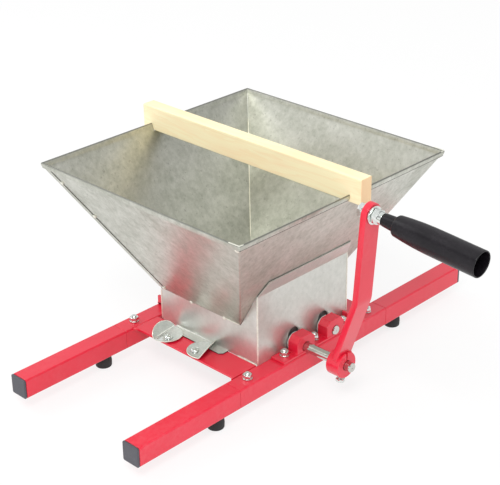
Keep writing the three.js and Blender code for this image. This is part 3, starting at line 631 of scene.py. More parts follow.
def weld(name, dark, light):
    """Bright, fine-rippled weld metal."""
    finish = Finish(name, Metallic=0.7)
    cloud = finish.use(mottle, 240.0)
    finish.tint(cloud["Tone"], dark, light)
    finish.roughen(cloud["Tone"], 0.5, 0.34)
    finish.relief(cloud["Height"], 0.2, 0.0003)
    return finish


def plated(name, light, dark, roughness, scale, metallic=1.0, depth=0.04):
    """Plated or ground metal: a clear tone with small clouds and fine lines in its roughness."""
    finish = Finish(name, Metallic=metallic)
    cloud = finish.use(mottle, scale)
    lines = finish.use(grain, scale * 8)
    finish.tint(cloud["Tone"], dark, light)
    finish.roughen(lines["Lines"], roughness * 0.75, roughness * 1.3)
    finish.relief(lines["Height"], depth, 0.0003)
    return finish


def cast_metal(name, light, dark):
    """Cast metal: coarse grain in bump and tone."""
    finish = Finish(name, Metallic=0.95)
    cloud = finish.use(mottle, 60.0)
    finish.tint(cloud["Tone"], dark, light)
    finish.roughen(cloud["Tone"], 0.52, 0.36)
    finish.relief(noise(finish.tree, finish.place, 900.0, 3.0), 0.25, 0.0004)
    return finish


def pine():
    """Planed pine: growth rings cut lengthwise, drawn out along X, with fine pores across them."""
    finish = Finish("pine", Coat_Weight=0.04, Coat_Roughness=0.4)
    tree, place = finish.tree, finish.place
    warp = drawn_noise(tree, place, (3.5, 22.0, 22.0))
    parts = axes(tree, place)
    across = plus(tree, times(tree, parts["Z"], 95.0), times(tree, parts["Y"], 60.0))
    rings = plus(tree, across, times(tree, warp, 9.0))
    late = ramp(tree, arithmetic(tree, "FRACT", rings), 0.45, 0.95)
    streaks = drawn_noise(tree, place, (12.0, 900.0, 900.0))
    blush = drawn_noise(tree, place, (9.0, 30.0, 30.0), 2.0)
    base = finish.blend(times(tree, late, 0.22), colour(255, 242, 200), colour(250, 214, 158))
    base = finish.blend(ramp(tree, streaks, 0.45, 0.8, 0.0, 0.2), base, colour(248, 206, 142))
    base = finish.blend(ramp(tree, blush, 0.5, 0.75, 0.0, 0.5), base, colour(253, 212, 168))
    reach = arithmetic(tree, "ABSOLUTE", plus(tree, parts["X"], -BATTEN_MIDDLE[0] * MM))
    end_grain = ramp(tree, reach, (BATTEN_HALF - 0.6) * MM, (BATTEN_HALF - 0.1) * MM)
    finish.tint(times(tree, end_grain, 0.75), base, colour(238, 198, 152))
    link(tree, ramp(tree, streaks, 0.3, 0.7, 0.5, 0.68), finish.shader.inputs["Roughness"])
    finish.relief(streaks, 0.25, 0.0003)
    return finish


def moulded(name, light, dark, roughness, grain_scale, depth, gloss=0.5):
    """Moulded plastic or rubber: a fine even grain, and paler where it has been handled."""
    finish = Finish(name, Specular_IOR_Level=gloss)
    dust = finish.use(soil, 30.0)["Mask"]
    finish.tint(dust, dark, light)
    finish.roughen(dust, roughness, roughness + 0.12)
    finish.relief(noise(finish.tree, finish.place, grain_scale, 2.0), depth, 0.0003)
    return finish


def all_finishes():
    """Every material by its finish's name."""
    made = (
        red_paint(),
        galvanised("sheet_steel", colour(203, 205, 198), colour(220, 221, 215),
                   dull=0.4, clear=0.32, specks=0.14, metallic=0.78),
        galvanised("hopper_sheet", colour(176, 178, 166), colour(212, 212, 203),
                   dull=0.42, clear=0.33, specks=0.42, metallic=0.95, rim_z=RIM_Z),
        cut_edge_and_gap_shade(),
        weld("weld", colour(222, 222, 208), colour(250, 250, 240)),
        weld("seam", colour(216, 214, 196), colour(244, 242, 224)),
        plated("zinc", colour(238, 241, 238), colour(208, 213, 210), roughness=0.12, scale=90.0),
        plated("bright_steel", colour(214, 213, 206), colour(196, 195, 190),
               roughness=0.1, scale=30.0, depth=0.0),
        plated("bush_metal", colour(222, 223, 220), colour(200, 202, 200),
               roughness=0.5, scale=60.0, metallic=0.45),
        cast_metal("aluminium", colour(190, 192, 194), colour(150, 152, 155)),
        cast_metal("cast_steel", colour(140, 141, 143), colour(96, 97, 99)),
        pine(),
        moulded("rubber", colour(52, 51, 52), colour(30, 29, 30),
                roughness=0.62, grain_scale=500.0, depth=0.3),
        moulded("cap_plastic", colour(106, 104, 111), colour(76, 76, 83),
                roughness=0.5, grain_scale=700.0, depth=0.35),
        moulded("grip_plastic", colour(40, 36, 42), colour(19, 16, 21),
                roughness=0.3, grain_scale=600.0, depth=0.12, gloss=0.3),
    )
    return {finish.name: finish.material for finish in made}


finishes = all_finishes()
finish_of = {"hopper": "hopper_sheet"}
finish_of.update({f"bush_{side}_{line}": "bush_metal" for side in SIDES for line in LINES})


# Pieces

SHARP_EDGE = math.radians(28)
BEVEL_ABOVE = math.radians(40)
MERGE_WITHIN = 2e-6
DISSOLVE_BELOW = 1e-7


def shell_mesh(name, points, polygons):
    """A shell as a mesh with its doubles merged and its faces turned outwards."""
    work = bmesh.new()
    corners = [work.verts.new(point) for point in (points * MM).tolist()]
    for polygon in polygons:
        if len(set(polygon)) > 2:
            work.faces.new([corners[index] for index in polygon])
    bmesh.ops.remove_doubles(work, verts=work.verts, dist=MERGE_WITHIN)
    bmesh.ops.dissolve_degenerate(work, edges=work.edges, dist=DISSOLVE_BELOW)
    bmesh.ops.recalc_face_normals(work, faces=work.faces)
    if all(edge.is_manifold for edge in work.edges) and work.calc_volume(signed=True) < 0:
        bmesh.ops.reverse_faces(work, faces=work.faces)
    mesh = bpy.data.meshes.new(name)
    work.to_mesh(mesh)
    work.free()
    return mesh


def mesh_of(name, shells):
    """One mesh of several shells."""
    work = bmesh.new()
    for points, polygons in shells:
        part = shell_mesh(name, points, polygons)
        work.from_mesh(part)
        bpy.data.meshes.remove(part)
    mesh = bpy.data.meshes.new(name)
    work.to_mesh(mesh)
    work.free()
    return mesh


def settle(piece):
    """Applies the piece's modifiers, then shades it smooth apart from its sharp edges."""
    if piece.modifiers:
        bpy.context.view_layer.update()
        seen = piece.evaluated_get(bpy.context.evaluated_depsgraph_get())
        piece.data = bpy.data.meshes.new_from_object(seen)
        piece.modifiers.clear()
    piece.data.shade_smooth()
    piece.data.set_sharp_from_angle(angle=SHARP_EDGE)


def thicken(piece, thickness, dark_rim):
    """Solidify, with the dark cut edge on its rim."""
    piece.data.materials.append(finishes["cut_edge_and_gap_shade"])
    made = piece.modifiers.new("thickness", "SOLIDIFY")
    made.thickness, made.offset = thickness * MM, 0
    made.use_even_offset = True
    made.material_offset_rim = 1 if dark_rim else 0


def soften(piece, width):
    """Bevel on the edges of a thickened sheet."""
    made = piece.modifiers.new("edges", "BEVEL")
    made.width, made.segments, made.angle_limit = width * MM, 2, BEVEL_ABOVE


def add(node, *shells, sheet=0.0, edge=0.0, name=None, finish=None, stands_for=True, dark_rim=True):
    """A finished piece on a CAD node's body; a sheet has a thickness and may have rounded edges."""
    name = name or f"{node}_finish"
    piece = bpy.data.objects.new(name, mesh_of(name, shells))
    bpy.context.scene.collection.objects.link(piece)
    piece.data.materials.append(finishes[finish or finish_of.get(node, slot_of[node])])
    if sheet:
        thicken(piece, sheet, dark_rim)
    if edge:
        soften(piece, edge)
    settle(piece)
    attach(piece, body_of[node])
    if stands_for:
        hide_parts(node)


def add_trim(name, node, finish, *shells):
    """A small extra that rides with a node without standing for it."""
    add(node, *shells, name=name, finish=finish, stands_for=False)


# Rails, legs, caps, feet and crossbars

def square_pipe(size, wall, corner, low, high):
    """Square tube along Y: a pipe between two rounded squares, a wall apart."""
    outer = rounded_box(size, size, corner)
    inner = rounded_box(size - 2 * wall, size - 2 * wall, max(corner - wall, 0.5))
    return along("Y", pipe(outer, inner, low, high, TUBE_EDGE))


def in_line(side, way, *shells):
    """Shells drawn along Y about a tube's middle, put in the line of a rail, pointing its way."""
    return [moved(scaled(shell, y=way), RAIL_X[side], 0, RAIL_Z) for shell in shells]


def add_rail(side):
    """The middle length of one side's tube."""
    tube = square_pipe(TUBE, TUBE_WALL, TUBE_CORNER, -RAIL_END, RAIL_END)
    add(f"rail_{side}", *in_line(side, 1, tube))


def add_leg(side, end):
    """A leg of the same tube, with a plug that slides into the rail."""
    node, way = f"leg_{side}_{end}", WAY[end]
    outer = reach_of(node, 1, way)[1]
    leg = square_pipe(TUBE, TUBE_WALL, TUBE_CORNER, RAIL_END + SEAT_GAP, outer)
    plug = square_pipe(PLUG, TUBE_WALL, PLUG_CORNER, RAIL_END - PLUG_REACH, RAIL_END + PLUG_ROOT)
    add(node, *in_line(side, way, leg, plug))


def add_cap(side, end):
    """A moulded plug: a plate with a crowned face, and ribs that grip the tube inside."""
    node, way = f"end_cap_{side}_{end}", WAY[end]
    inner_end, face = reach_of(node, 1, way)
    back = face - CAP_PLATE
    plate = along("Y", prism(rounded_box(TUBE, TUBE, TUBE_CORNER), back, face, CAP_CROWN))
    grip = square_pipe(PLUG, CAP_STEM_WALL, CAP_STEM_CORNER, inner_end, back + 1)
    add(node, *in_line(side, way, plate, grip))


def add_foot(side, end):
    """A rubber foot with a rounded tread, a waist line under the rail and a rivet in its hollow."""
    node = f"foot_{side}_{end}"
    low, high = span(node)
    radius, top, stud = (high[0] - low[0]) / 2, RAIL_LOW - SEAT_GAP, high[2]
    profile = rounded_profile([
        (FOOT_HOLLOW, 0.1), (FOOT_HOLLOW, 3.4), (0, 4.4), (0, radius - 0.4), (top * 0.5, radius),
        (top, radius - 1), (top, FOOT_STUD), (stud, FOOT_STUD), (stud, 0.1),
    ], 1.6, 5)
    rivet = lathe([(0.9, 0), (1.2, 1.5), (2.2, 2.9), (2.95, 3.0), (2.95, 0)], 32)
    add(node, *over(node, lathe([(FOOT_HOLLOW, 0), *profile, (stud, 0)], 48)))
    add_trim(f"{node}_rivet", node, "zinc", *over(node, rivet))


def add_crossbar(end):
    """An angle between the rails: a plate whose outer corners flare in a fillet, and an apron."""
    node, way = f"crossbar_{end}", WAY[end]
    low, high = span(node)
    inner, outer = reach_of(node, 1, way)
    half = (high[0] - low[0]) / 2
    flare = polar(CROSSBAR_FILLET, np.linspace(-0.45, -np.pi / 2, 8))
    flare += (half - CROSSBAR_FILLET, outer)
    flare = np.concatenate(([(half, flare[0][1])], flare))
    outline = np.concatenate(([(-half, inner), (half, inner)], flare, (flare * (-1, 1))[::-1]))
    plate = prism(outline, high[2] - CROSSBAR_THICK, high[2], 0.3)
    apron = prism(rounded_box(2 * half, CROSSBAR_THICK, 0.9), low[2], high[2] - 0.6, 0.6)
    root, under = inner + 2, high[2] - 4
    line = ((root, low[2] + 1), (root, under), (outer - CROSSBAR_FILLET, under))
    welds = [bead([(x, y, z) for y, z in line], 1.6) for x in (0.2 - half, half - 0.2)]
    shells = [plate, moved(apron, 0, inner + CROSSBAR_THICK / 2), *welds]
    add(node, *[moved(scaled(shell, y=way), MIDDLE_X) for shell in shells])


# Fasteners

def add_bolt(node, turn):
    """A machine bolt from below: head, stem, washer, nut, and the thread that stands out of it."""
    low, high = reach_of(node, 2)
    nut = high - BOLT_TAIL - BOLT_NUT
    add(node, *over(
        node,
        hexagon(BOLT_HEX, low, low + BOLT_HEAD, turn * 1.7),
        stem(BOLT_RADIUS - 0.4, low + 1, high - 3.2),
        thread(BOLT_RADIUS, high - 3.4, high),
        washer(WASHER_RADIUS, nut - WASHER_HEIGHT, nut),
        hexagon(BOLT_HEX, nut + 0.02, nut + BOLT_NUT, turn),
    ))


def add_bolts():
    """All bolts of the frame, no two of them turned the same way."""
    names = [f"corner_bolt_{side}_{end}" for side in SIDES for end in ENDS]
    names += [f"bracket_bolt_{side}_{k}" for side in SIDES for k in (1, 2, 3)]
    for index, node in enumerate(names):
        add_bolt(node, 0.35 + 0.47 * index)


# Bearing brackets and bushes

def boss(y, strip_low, inner_x, outer_x):
    """A block with two chamfered top edges, bored through and bored wider for the bush."""
    low, flat = strip_low - SHAFT_Z, BOSS_HALF - BOSS_CHAMFER
    corners = [math.atan2(a, b) for a, b in (
        (flat, BOSS_HALF), (BOSS_HALF, flat), (BOSS_HALF, -flat), (flat, -BOSS_HALF),
        (low, -BOSS_HALF), (low, BOSS_HALF))]
    even = np.linspace(-np.pi, np.pi, 72, endpoint=False)
    clear = np.abs(even[:, None] - np.array(corners)[None]).min(1) > 0.03
    angles = np.sort(np.concatenate((even[clear], corners)))
    chamfer = (2 * BOSS_HALF - BOSS_CHAMFER) / math.sqrt(2)
    sides = [(0, BOSS_HALF), (45, chamfer), (90, BOSS_HALF), (135, chamfer), (180, BOSS_HALF),
             (270, -low)]
    outer = polar(flat_radius(angles, sides), angles)
    step_x = outer_x - BOSS_LIP
    rounded = edge_rows(inner_x, outer_x, 0.5)
    rows = side_rows(outer, [(inner_x, 0.06), (inner_x + 0.06, 0.0), *rounded[len(rounded) // 2:]])
    rows += [polar(radius, angles, x) for radius, x in (
        (SHAFT_BORE + 0.4, outer_x), (SHAFT_BORE, outer_x - 0.4), (SHAFT_BORE, step_x),
        (BOSS_SEAT, step_x), (BOSS_SEAT, inner_x))]
    return moved(along("X", skin(np.array(rows), closed=True)), 0, y, SHAFT_Z)


def add_bracket(side):
    """A strip on the rail with two bosses and an upturned tab, notched round the bush flanges. It
    is drawn for the crank side, about the rail's middle line and the shafts' middle."""
    node, way = f"bearing_bracket_{side}", WAY[side]
    low, high = span(node)
    strip_low, strip_top = low[2], low[2] + STRIP_THICK
    inner_x, outer_x = (x - way * RAIL_X[side] for x in reach_of(node, 0, way))
    half = (high[1] - low[1]) / 2
    boss_out = outer_x - 0.5
    boss_in = boss_out - BOSS_LENGTH
    bosses = (-SHAFT_GAP / 2, SHAFT_GAP / 2)
    points = [(inner_x, -half), (outer_x, -half), (outer_x, half), (inner_x, half)]
    for y in bosses[::-1]:
        upper, lower = y + STRIP_NOTCH, y - STRIP_NOTCH
        points += [(inner_x, upper), (boss_in, upper), (boss_in, lower), (inner_x, lower)]
    strip = prism(np.array(points), strip_low, strip_top, 0.5)
    tab = rounded_box(outer_x - inner_x, TAB_THICK, 1.2)
    tab = prism(tab, strip_low, strip_low + TAB_HEIGHT, 0.7)
    shells = [strip, moved(tab, (inner_x + outer_x) / 2, half - TAB_THICK / 2)]
    shells += [boss(y, strip_low, boss_in, boss_out) for y in bosses]
    flanks = [y + sign * BOSS_HALF for y in bosses for sign in (-1, 1)]
    shells += [bead([(x, y, strip_top) for x in (boss_in + 1, boss_out - 1)], 1.1) for y in flanks]
    add(node, *[moved(scaled(shell, x=way, y=way), RAIL_X[side], SHAFTS_Y) for shell in shells])


def add_bush(side, line):
    """A flanged bush; the flange is cut flat where it stands on the rail."""
    node, way = f"bush_{side}_{line}", WAY[side]
    inner, outer = reach_of(node, 0, way)
    seat = inner + BUSH_FLANGE_THICK
    flat = SHAFT_Z - span(node)[0][2]

    def cut(radius, angle):
        """Radius held above the flat: r <= flat / -sin(angle) below the axis."""
        down = np.maximum(-np.sin(angle), 1e-3)
        return np.where(radius > BUSH_SLEEVE + 0.1, np.minimum(radius, flat / down), radius)

    bevel = inner + BUSH_BEVEL
    profile = [
        (outer, BUSH_BORE), (outer, BUSH_SLEEVE), (seat, BUSH_SLEEVE), (seat, BUSH_FLANGE - 0.4),
        (seat - 0.4, BUSH_FLANGE), (bevel, BUSH_FLANGE), (inner, BUSH_FLANGE - BUSH_BEVEL),
        (inner, BUSH_BORE + BUSH_BEVEL), (bevel, BUSH_BORE), (outer, BUSH_BORE),
    ]
    add(node, moved(scaled(along("X", lathe(profile, 72, cut)), x=way), 0, LINE_Y[line], SHAFT_Z))


# Chamber and hopper

def shaft_wall(way, face_x, fold_z, flange):
    """A wall across the shafts: flat with two open arches below, its top bent out as a flange."""
    middle, foot = face_x - way * SHEET / 2, RAIL_TOP + SEAT_GAP
    lift = (SEAT_GAP + SHEET / 2) / math.cos(LEAN)
    bend_z = fold_z - (SHEET / 2 + lift) / SPREAD_RATE
    tip = np.array((middle + way * math.sin(LEAN) * flange, bend_z + math.cos(LEAN) * flange))
    tip += FLANGE_STANDOFF * np.array((way * math.cos(LEAN), -math.sin(LEAN)))
    rows = bent_line([(middle, bend_z - 12), (middle, bend_z), tip], WALL_BEND)[1:]
    above = np.clip((rows[:, 1] - bend_z) / (tip[1] - bend_z), 0, 1)
    grid = widened(rows, CHAMBER_HALF - FLANGE_TAPER * above, 25)
    arc = polar(ARCH_HALF, np.linspace(np.pi, 0, 33))
    bottom = [(-CHAMBER_HALF, foot)]
    for y in (DRIVE_Y, IDLER_Y):
        arch = arc + (y, SHAFT_Z + ARCH_RISE)
        bottom += [(y - ARCH_HALF, foot), *arch.tolist(), (y + ARCH_HALF, foot)]
    bottom.append((CHAMBER_HALF, foot))
    ring = np.concatenate((np.array([(middle, y, z) for y, z in bottom]), grid[0][::-1]))
    return joined(one_face(ring), skin(grid, loops=False))


def end_wall():
    """A wall along the shafts, drawn for the rear: its foot is bent out on the crossbar."""
    low, high = span("chamber_wall_rear")
    middle, foot, top = CHAMBER_HALF - SHEET / 2, low[2], FOOT_Z - SEAT_GAP
    flat_z = foot + SHEET / 2
    section = [(middle, foot + 6), (middle, flat_z), (CHAMBER_HALF + FOOT_FLANGE, flat_z)]
    bend = bent_line(section, FOOT_BEND)
    rows = np.concatenate((bend[1:-1], [bend[-1] - (FOOT_FLANGE_CHAMFER, 0)], bend[-1:]))
    x0, x1 = (MIDDLE_X + x for x in FOOT_FLANGE_X)
    half = np.full(len(rows), (x1 - x0) / 2)
    half[-1] -= FOOT_FLANGE_CHAMFER
    grid = widened(rows, half, 17)[:, :, (1, 0, 2)] + ((x0 + x1) / 2, 0, 0)
    ring = [(low[0], foot), (x0, foot), *grid[0][:, [0, 2]].tolist(), (x1, foot), (high[0], foot),
            (high[0], high[2]), (HOPPER_CRANK + 0.2, top), (low[0], top)]
    return joined(one_face(np.array([(x, middle, z) for x, z in ring])), skin(grid, loops=False))


def hopper_columns():
    """The hopper's upright lines, each a foot point P and a direction D: at spread s it is at
    P + s D. Lines on the crank and far panels also mark the mouth's edges and the notches."""
    fold, aside = 0.012, 0.97
    turn = np.linspace(0, np.pi / 2, 5)
    between = *np.linspace(-68, -10, 6), *np.linspace(30, 68, 5)
    across = sorted([-CHAMBER_HALF, CHAMBER_HALF, *NOTCH_Y, *between])
    shares = (0.985, *np.linspace(1, -1, 16)[1:-1], -0.985)

    def side(x, way):
        inside = [((x, y), (way, 0)) for y in across]
        return [((x, -CHAMBER_HALF), (way, -aside)), *inside, ((x, CHAMBER_HALF), (way, aside))]

    def end(way):
        half = HOPPER_FOOT_WIDTH / 2
        return [((HOPPER_MIDDLE + t * half, way * CHAMBER_HALF), (t, way)) for t in shares]

    def corner(x, x_way, y_way, start):
        outward = np.array((x_way, y_way)) * (1 - fold) + polar(fold, start + turn)
        return [((x, y_way * CHAMBER_HALF), way) for way in outward.tolist()]

    columns = [
        *side(HOPPER_CRANK, 1), *corner(HOPPER_CRANK, 1, 1, 0),
        *end(1), *corner(CHAMBER_FAR, -1, 1, np.pi / 2),
        *side(CHAMBER_FAR, -1)[::-1], *corner(CHAMBER_FAR, -1, -1, np.pi),
        *end(-1)[::-1], *corner(HOPPER_CRANK, 1, -1, 1.5 * np.pi),
    ]
    return (np.array(part, float) for part in zip(*columns))


def hopper_profile():
    """The folded sheet's middle line as (spread, height): straight up the lean, a lip that stands
    LIP_TURN steeper, a half-round roll, and the hem down the outside."""
    offset = SHEET / 2 / math.cos(LEAN)
    roll = (SHEET + HEM_GAP) / 2
    steep = LEAN - math.radians(LIP_TURN)
    up_lip = np.array((math.sin(steep), math.cos(steep)))
    outward = np.array((math.cos(steep), -math.sin(steep)))
    lip_z = RIM_Z - HEM_HEIGHT * math.cos(steep)
    lip_foot = np.array(((lip_z - FOOT_Z) * SPREAD_RATE - offset, lip_z))
    lip_top = lip_foot + up_lip * (HEM_HEIGHT - roll - SHEET / 2 - 0.2)
    heights = sorted([*np.linspace(FOOT_Z, lip_z, 15)[:-1], CRANK_FOLD_Z + 1, NOTCH_Z])
    profile = [((z - FOOT_Z) * SPREAD_RATE - offset, z) for z in heights]
    profile += [lip_foot - up_lip * 0.3, lip_foot + up_lip * 0.3, lip_top]
    for angle in np.linspace(0, np.pi, 8)[1:]:
        aside = roll * (1 - math.cos(angle)) * outward
        profile.append(lip_top + aside + roll * math.sin(angle) * up_lip)
    profile.append(profile[-1] - up_lip * (HEM_HEIGHT - 1.6))
    return np.array(profile)


def buckled(u, v):
    """How far a panel stands out: two low waves that vanish at its edges."""
    waves = np.sin(2.1 * np.pi * u + 0.7) * np.cos(1.6 * np.pi * v)
    return BUCKLE * np.sin(np.pi * u) * np.sin(np.pi * v) * waves


def hopper_shell():
    """The folded sheet's middle surface: P + s D at each height, along the hopper's profile.
    Faces over the mouth into the chamber and in the batten's notches are left out."""
    places, ways = hopper_columns()
    spread, height = hopper_profile().T
    flat = places[None] + spread[:, None, None] * ways[None]
    up = np.clip((height - FOOT_Z) / (RIM_Z - HEM_HEIGHT - FOOT_Z), 0, 1)[:, None]
    for axis in (0, 1):
        facing = np.abs(ways[:, axis]) >= 0.999
        beside = flat[:, :, 1 - axis]
        share = (beside - beside.min(1, keepdims=True)) / np.ptp(beside, axis=1)[:, None]
        flat[:, :, axis] += buckled(share, up) * facing * np.sign(ways[:, axis])
    rings = np.concatenate((flat, np.repeat(height[:, None, None], len(places), 1)), -1)
    vertices, faces = skin(rings, ends=False)
    x, y, z = vertices[np.array(faces)].mean(1).T
    in_notch = (y > NOTCH_Y[0]) & (y < NOTCH_Y[1]) & (z > NOTCH_Z)
    in_notch &= (x < CHAMBER_FAR - 60) | (x > HOPPER_CRANK + 60)
    in_mouth = (np.abs(y) < CHAMBER_HALF) & (z < CRANK_FOLD_Z + 0.5) & (x > HOPPER_CRANK - 2)
    return vertices, [face for face, gone in zip(faces, in_notch | in_mouth) if not gone]


def hopper_point(x_way, y_way, share, aside, out):
    """A point of a corner's upright fold at a share of the hopper's height, moved along the near or
    rear panel away from the corner, and out of that panel's face."""
    x = CHAMBER_FAR if x_way < 0 else HOPPER_CRANK
    spread = share * HOPPER_SPREAD
    height = FOOT_Z + share * (RIM_Z - FOOT_Z)
    corner = (x + x_way * spread, y_way * (CHAMBER_HALF + spread), height)
    return corner - np.array((x_way * aside, 0, 0)) + out * panel_face(y_way)


def panel_face(y_way):
    """The way in which the near or rear panel faces."""
    return np.array((0, y_way * math.cos(LEAN), -math.sin(LEAN)))


def lap(y_way):
    """The far panel's folded edge, a narrow strip on the outside of the near or rear panel."""
    out, asides = 0.5 * LAP_THICK + 0.05, (0.4, 2, LAP_WIDTH)
    rows = [[hopper_point(-1, y_way, share, aside, out) for aside in asides]
            for share in np.linspace(0.015, 0.955, 24)]
    return skin(np.array(rows), loops=False)


def tack(point, way, size):
    """A small flattened drop of weld metal on a face that looks along way."""
    dome = lathe([(-0.3, 0), (-0.3, 1.0), (0.1, 1.05), (0.35, 0.8), (0.5, 0.35), (0.52, 0)], 20)
    turn = np.array(Vector(way).to_track_quat("Z", "X").to_matrix())
    return dome[0] * size @ turn.T + point, dome[1]


def plain_line(path, radius, steps=6):
    """A thin round line along a path."""
    return bead(path, radius, 0.0, steps)


def hem_lines():
    """Dark lines along the hem's cut lower edge on all four sides, open at the batten's notches:
    the cut edge, and painted shade of the gap under the hem, twice as thick on the crank side.
    """
    spread, z = hopper_profile()[-1]
    x0, x1 = CHAMBER_FAR - spread - 0.2, HOPPER_CRANK + spread + 0.2
    y1 = CHAMBER_HALF + spread + 0.2
    notch_near, notch_rear = BATTEN_LOW[1] - 1, BATTEN_HIGH[1] + 1
    rear = [(x1, y1, z), (x0, y1, z), (x0, notch_rear, z)]
    near = [(x0, notch_near, z), (x0, -y1, z), (x1, -y1, z)]
    crank = [[(x1, notch_rear, z), (x1, y1, z)], [(x1, -y1, z), (x1, notch_near, z)]]
    lines = [plain_line(path, HEM_EDGE) for path in (rear, near)]
    # Painted shade: the crank side's lines are twice as thick.
    return lines + [plain_line(path, 2 * HEM_EDGE) for path in crank]


def flange_gap_shade():
    """A dark line along the top and both slanting ends of the crank wall's flange: painted shade
    of the gap between the flange and the hopper.
    """
    high = span("chamber_wall_crank")[1]
    x, y, z = high[0] - 1.3, CHAMBER_HALF - FLANGE_TAPER, high[2] - 0.5
    foot_x, foot_z = CHAMBER_CRANK - SHEET / 2, CRANK_FOLD_Z - 1.5
    path = [(foot_x, -CHAMBER_HALF, foot_z), (x, -y, z), (x, y, z), (foot_x, CHAMBER_HALF, foot_z)]
    # Painted shade of the gap, as a thin dark line.
    return plain_line(path, 0.42)


def end_welds(way):
    """Drops and beads of weld metal on the near or rear side of the bin."""
    wall, face = CHAMBER_HALF * way, panel_face(way)
    drops = [tack(hopper_point(-1, way, share, LAP_WIDTH, 0.6), face, 2.4) for share in TACK_SHARES]
    drops += [tack((MIDDLE_X + x, wall, FOOT_Z - 0.8), (0, way, 0), 2.3) for x in FOOT_TACKS_X]
    drops.append(tack(hopper_point(1, way, 0.955, 3, 0.5), face, 3.0))
    apex = [(x, wall + way * 0.5, FOOT_Z) for x in (MIDDLE_X + 37, HOPPER_CRANK - 1)]
    foot = [(CHAMBER_CRANK - x, wall + way * 0.4, RAIL_TOP + 0.6) for x in (34, 1)]
    spread = HOPPER_SPREAD - 1.2
    corner = np.array((HOPPER_CRANK + spread, way * (CHAMBER_HALF + spread), RIM_Z - 0.35))
    rim = [corner - (16, 0, 0), corner - (0.6, way * 0.6, 0), corner - (0, way * 7, 0)]
    return drops, [bead(apex, 0.75), bead(foot, 0.8, ripple=0.3), bead(rim, 0.7, ripple=0.1)]


def add_seams():
    """Everything on the bin that is welded, lapped or hemmed."""
    inside = 1.6
    folds = [[hopper_point(a, b, share, inside, -inside) for share in (0.05, 0.8)]
             for a, b in ((1, 1), (-1, 1), (-1, -1), (1, -1))]
    seams = [bead(fold, 0.72, ripple=0.12) for fold in folds]
    add_trim("hopper_corner_seams", "hopper", "seam", *seams)
    add("hopper", lap(-1), lap(1), sheet=LAP_THICK, name="hopper_laps", stands_for=False)
    # Dark lines at the hem and the flange: the cut edge and painted shade of the gaps.
    add_trim("hopper_edge_and_gap_shade", "hopper", "cut_edge_and_gap_shade", *hem_lines(), flange_gap_shade())
    near_drops, near_beads = end_welds(-1)
    rear_drops, rear_beads = end_welds(1)
    add_trim("hopper_welds", "hopper", "weld", *near_drops, *rear_drops, *near_beads, *rear_beads)
    corners = []
    for x, top in ((CHAMBER_FAR + 0.3, FOOT_Z - 1.0), (CHAMBER_CRANK - 0.3, CRANK_FOLD_Z - 2)):
        for y in (0.3 - CHAMBER_HALF, CHAMBER_HALF - 0.3):
            corners.append(bead([(x, y, RAIL_TOP + 0.9), (x, y, top)], 1.15, ripple=0.04))
    add_trim("chamber_seams", "chamber_wall_crank", "weld", *corners)


def add_bin():
    """The four chamber walls and the hopper, all of thin sheet, and what joins them."""
    crank_wall = shaft_wall(1, CHAMBER_CRANK, CRANK_FOLD_Z, CRANK_FLANGE)
    add("chamber_wall_crank", crank_wall, sheet=SHEET, dark_rim=False)
    add("chamber_wall_far", shaft_wall(-1, CHAMBER_FAR, FOOT_Z, FAR_FLANGE), sheet=SHEET)
    add("chamber_wall_rear", end_wall(), sheet=SHEET)
    add("chamber_wall_near", scaled(end_wall(), y=-1), sheet=SHEET)
    add("hopper", hopper_shell(), sheet=SHEET)
    add_seams()


def add_batten():
    """A planed plank with softened edges, lying in the rim's notches."""
    size = BATTEN_HIGH - BATTEN_LOW
    plank = prism(rounded_box(size[1], size[2], 1.3, 4), BATTEN_LOW[0], BATTEN_HIGH[0], 0.7)
    add("batten", moved(along("X", plank), 0, *BATTEN_MIDDLE[1:]))


# Latches

LATCH_RADIUS = 20
LATCH_FOLD = 4
LATCH_TAB = 14
LATCH_RAISE = math.radians(56)
SCREW_FROM_FOLD = 12.5
SCREW_ASIDE = 6
SCREW_RADIUS = 2.7
LATCH_HANDS = (("near_left", 1, 7), ("near_right", -1, 198),
               ("far_left", -1, -7), ("far_right", 1, 162))


def latch(hand):
    """A folded disc: s runs from the tab's rim over the fold to the flat rim, t from edge to edge.
    The tab is half an ellipse, the flat part what the circle leaves, rim and fold thin lines."""
    tab = -LATCH_TAB * np.sin(np.linspace(np.pi / 2, 0.02, 20))
    around = np.linspace(math.acos(LATCH_FOLD / LATCH_RADIUS), np.pi, 28)
    flat = LATCH_FOLD - LATCH_RADIUS * np.cos(around)
    s = np.concatenate((tab, (-0.15, 0.0, 0.15), flat[1:]))
    half_fold = math.sqrt(LATCH_RADIUS ** 2 - LATCH_FOLD ** 2)
    inside_tab = half_fold * np.sqrt(np.clip(1 - (s / LATCH_TAB) ** 2, 0, 1))
    inside_flat = np.sqrt(np.clip(LATCH_RADIUS ** 2 - (s - LATCH_FOLD) ** 2, 0, None))
    half = np.where(s < 0, inside_tab, inside_flat)
    soft = (np.sqrt(s ** 2 + 1.2) - np.abs(s)) / 2
    x = np.where(s < 0, s * math.cos(LATCH_RAISE), s)
    z = (np.where(s < 0, -s, 0) + soft) * math.sin(LATCH_RAISE)
    grid = widened(np.stack((x, z), -1), half, 21) + (-SCREW_FROM_FOLD, hand * SCREW_ASIDE, 0)
    outline = np.concatenate((grid[:, 0], grid[::-1, -1]))
    fold = grid[20] + (0, 0, 0.35)
    return skin(grid, loops=False), plain_line(outline, 0.62, 8), plain_line(fold, 0.4, 8)


def pan_head(radius, low, rise, slot_turn):
    """A slotted pan head: z(r, a) is a dome, less a slot where the distance across it is small."""
    share = np.concatenate((np.linspace(0, 0.9, 26), (0.96, 1.0)))[:, None]
    angles = circle_angles(72)
    dome = low + rise * (1 - 0.35 * share ** 2 - 0.65 * share ** 10)
    off = np.abs(radius * share * np.sin(angles - slot_turn))
    slot = np.clip((0.75 - off) / 0.15, 0, 1) * 1.2
    top = polar(radius * share, angles, np.maximum(dome - slot, low + 0.2))
    under = polar(radius, angles, low)[None]
    return skin(np.concatenate((top, under, under * (0, 0, 1))), ends=False)


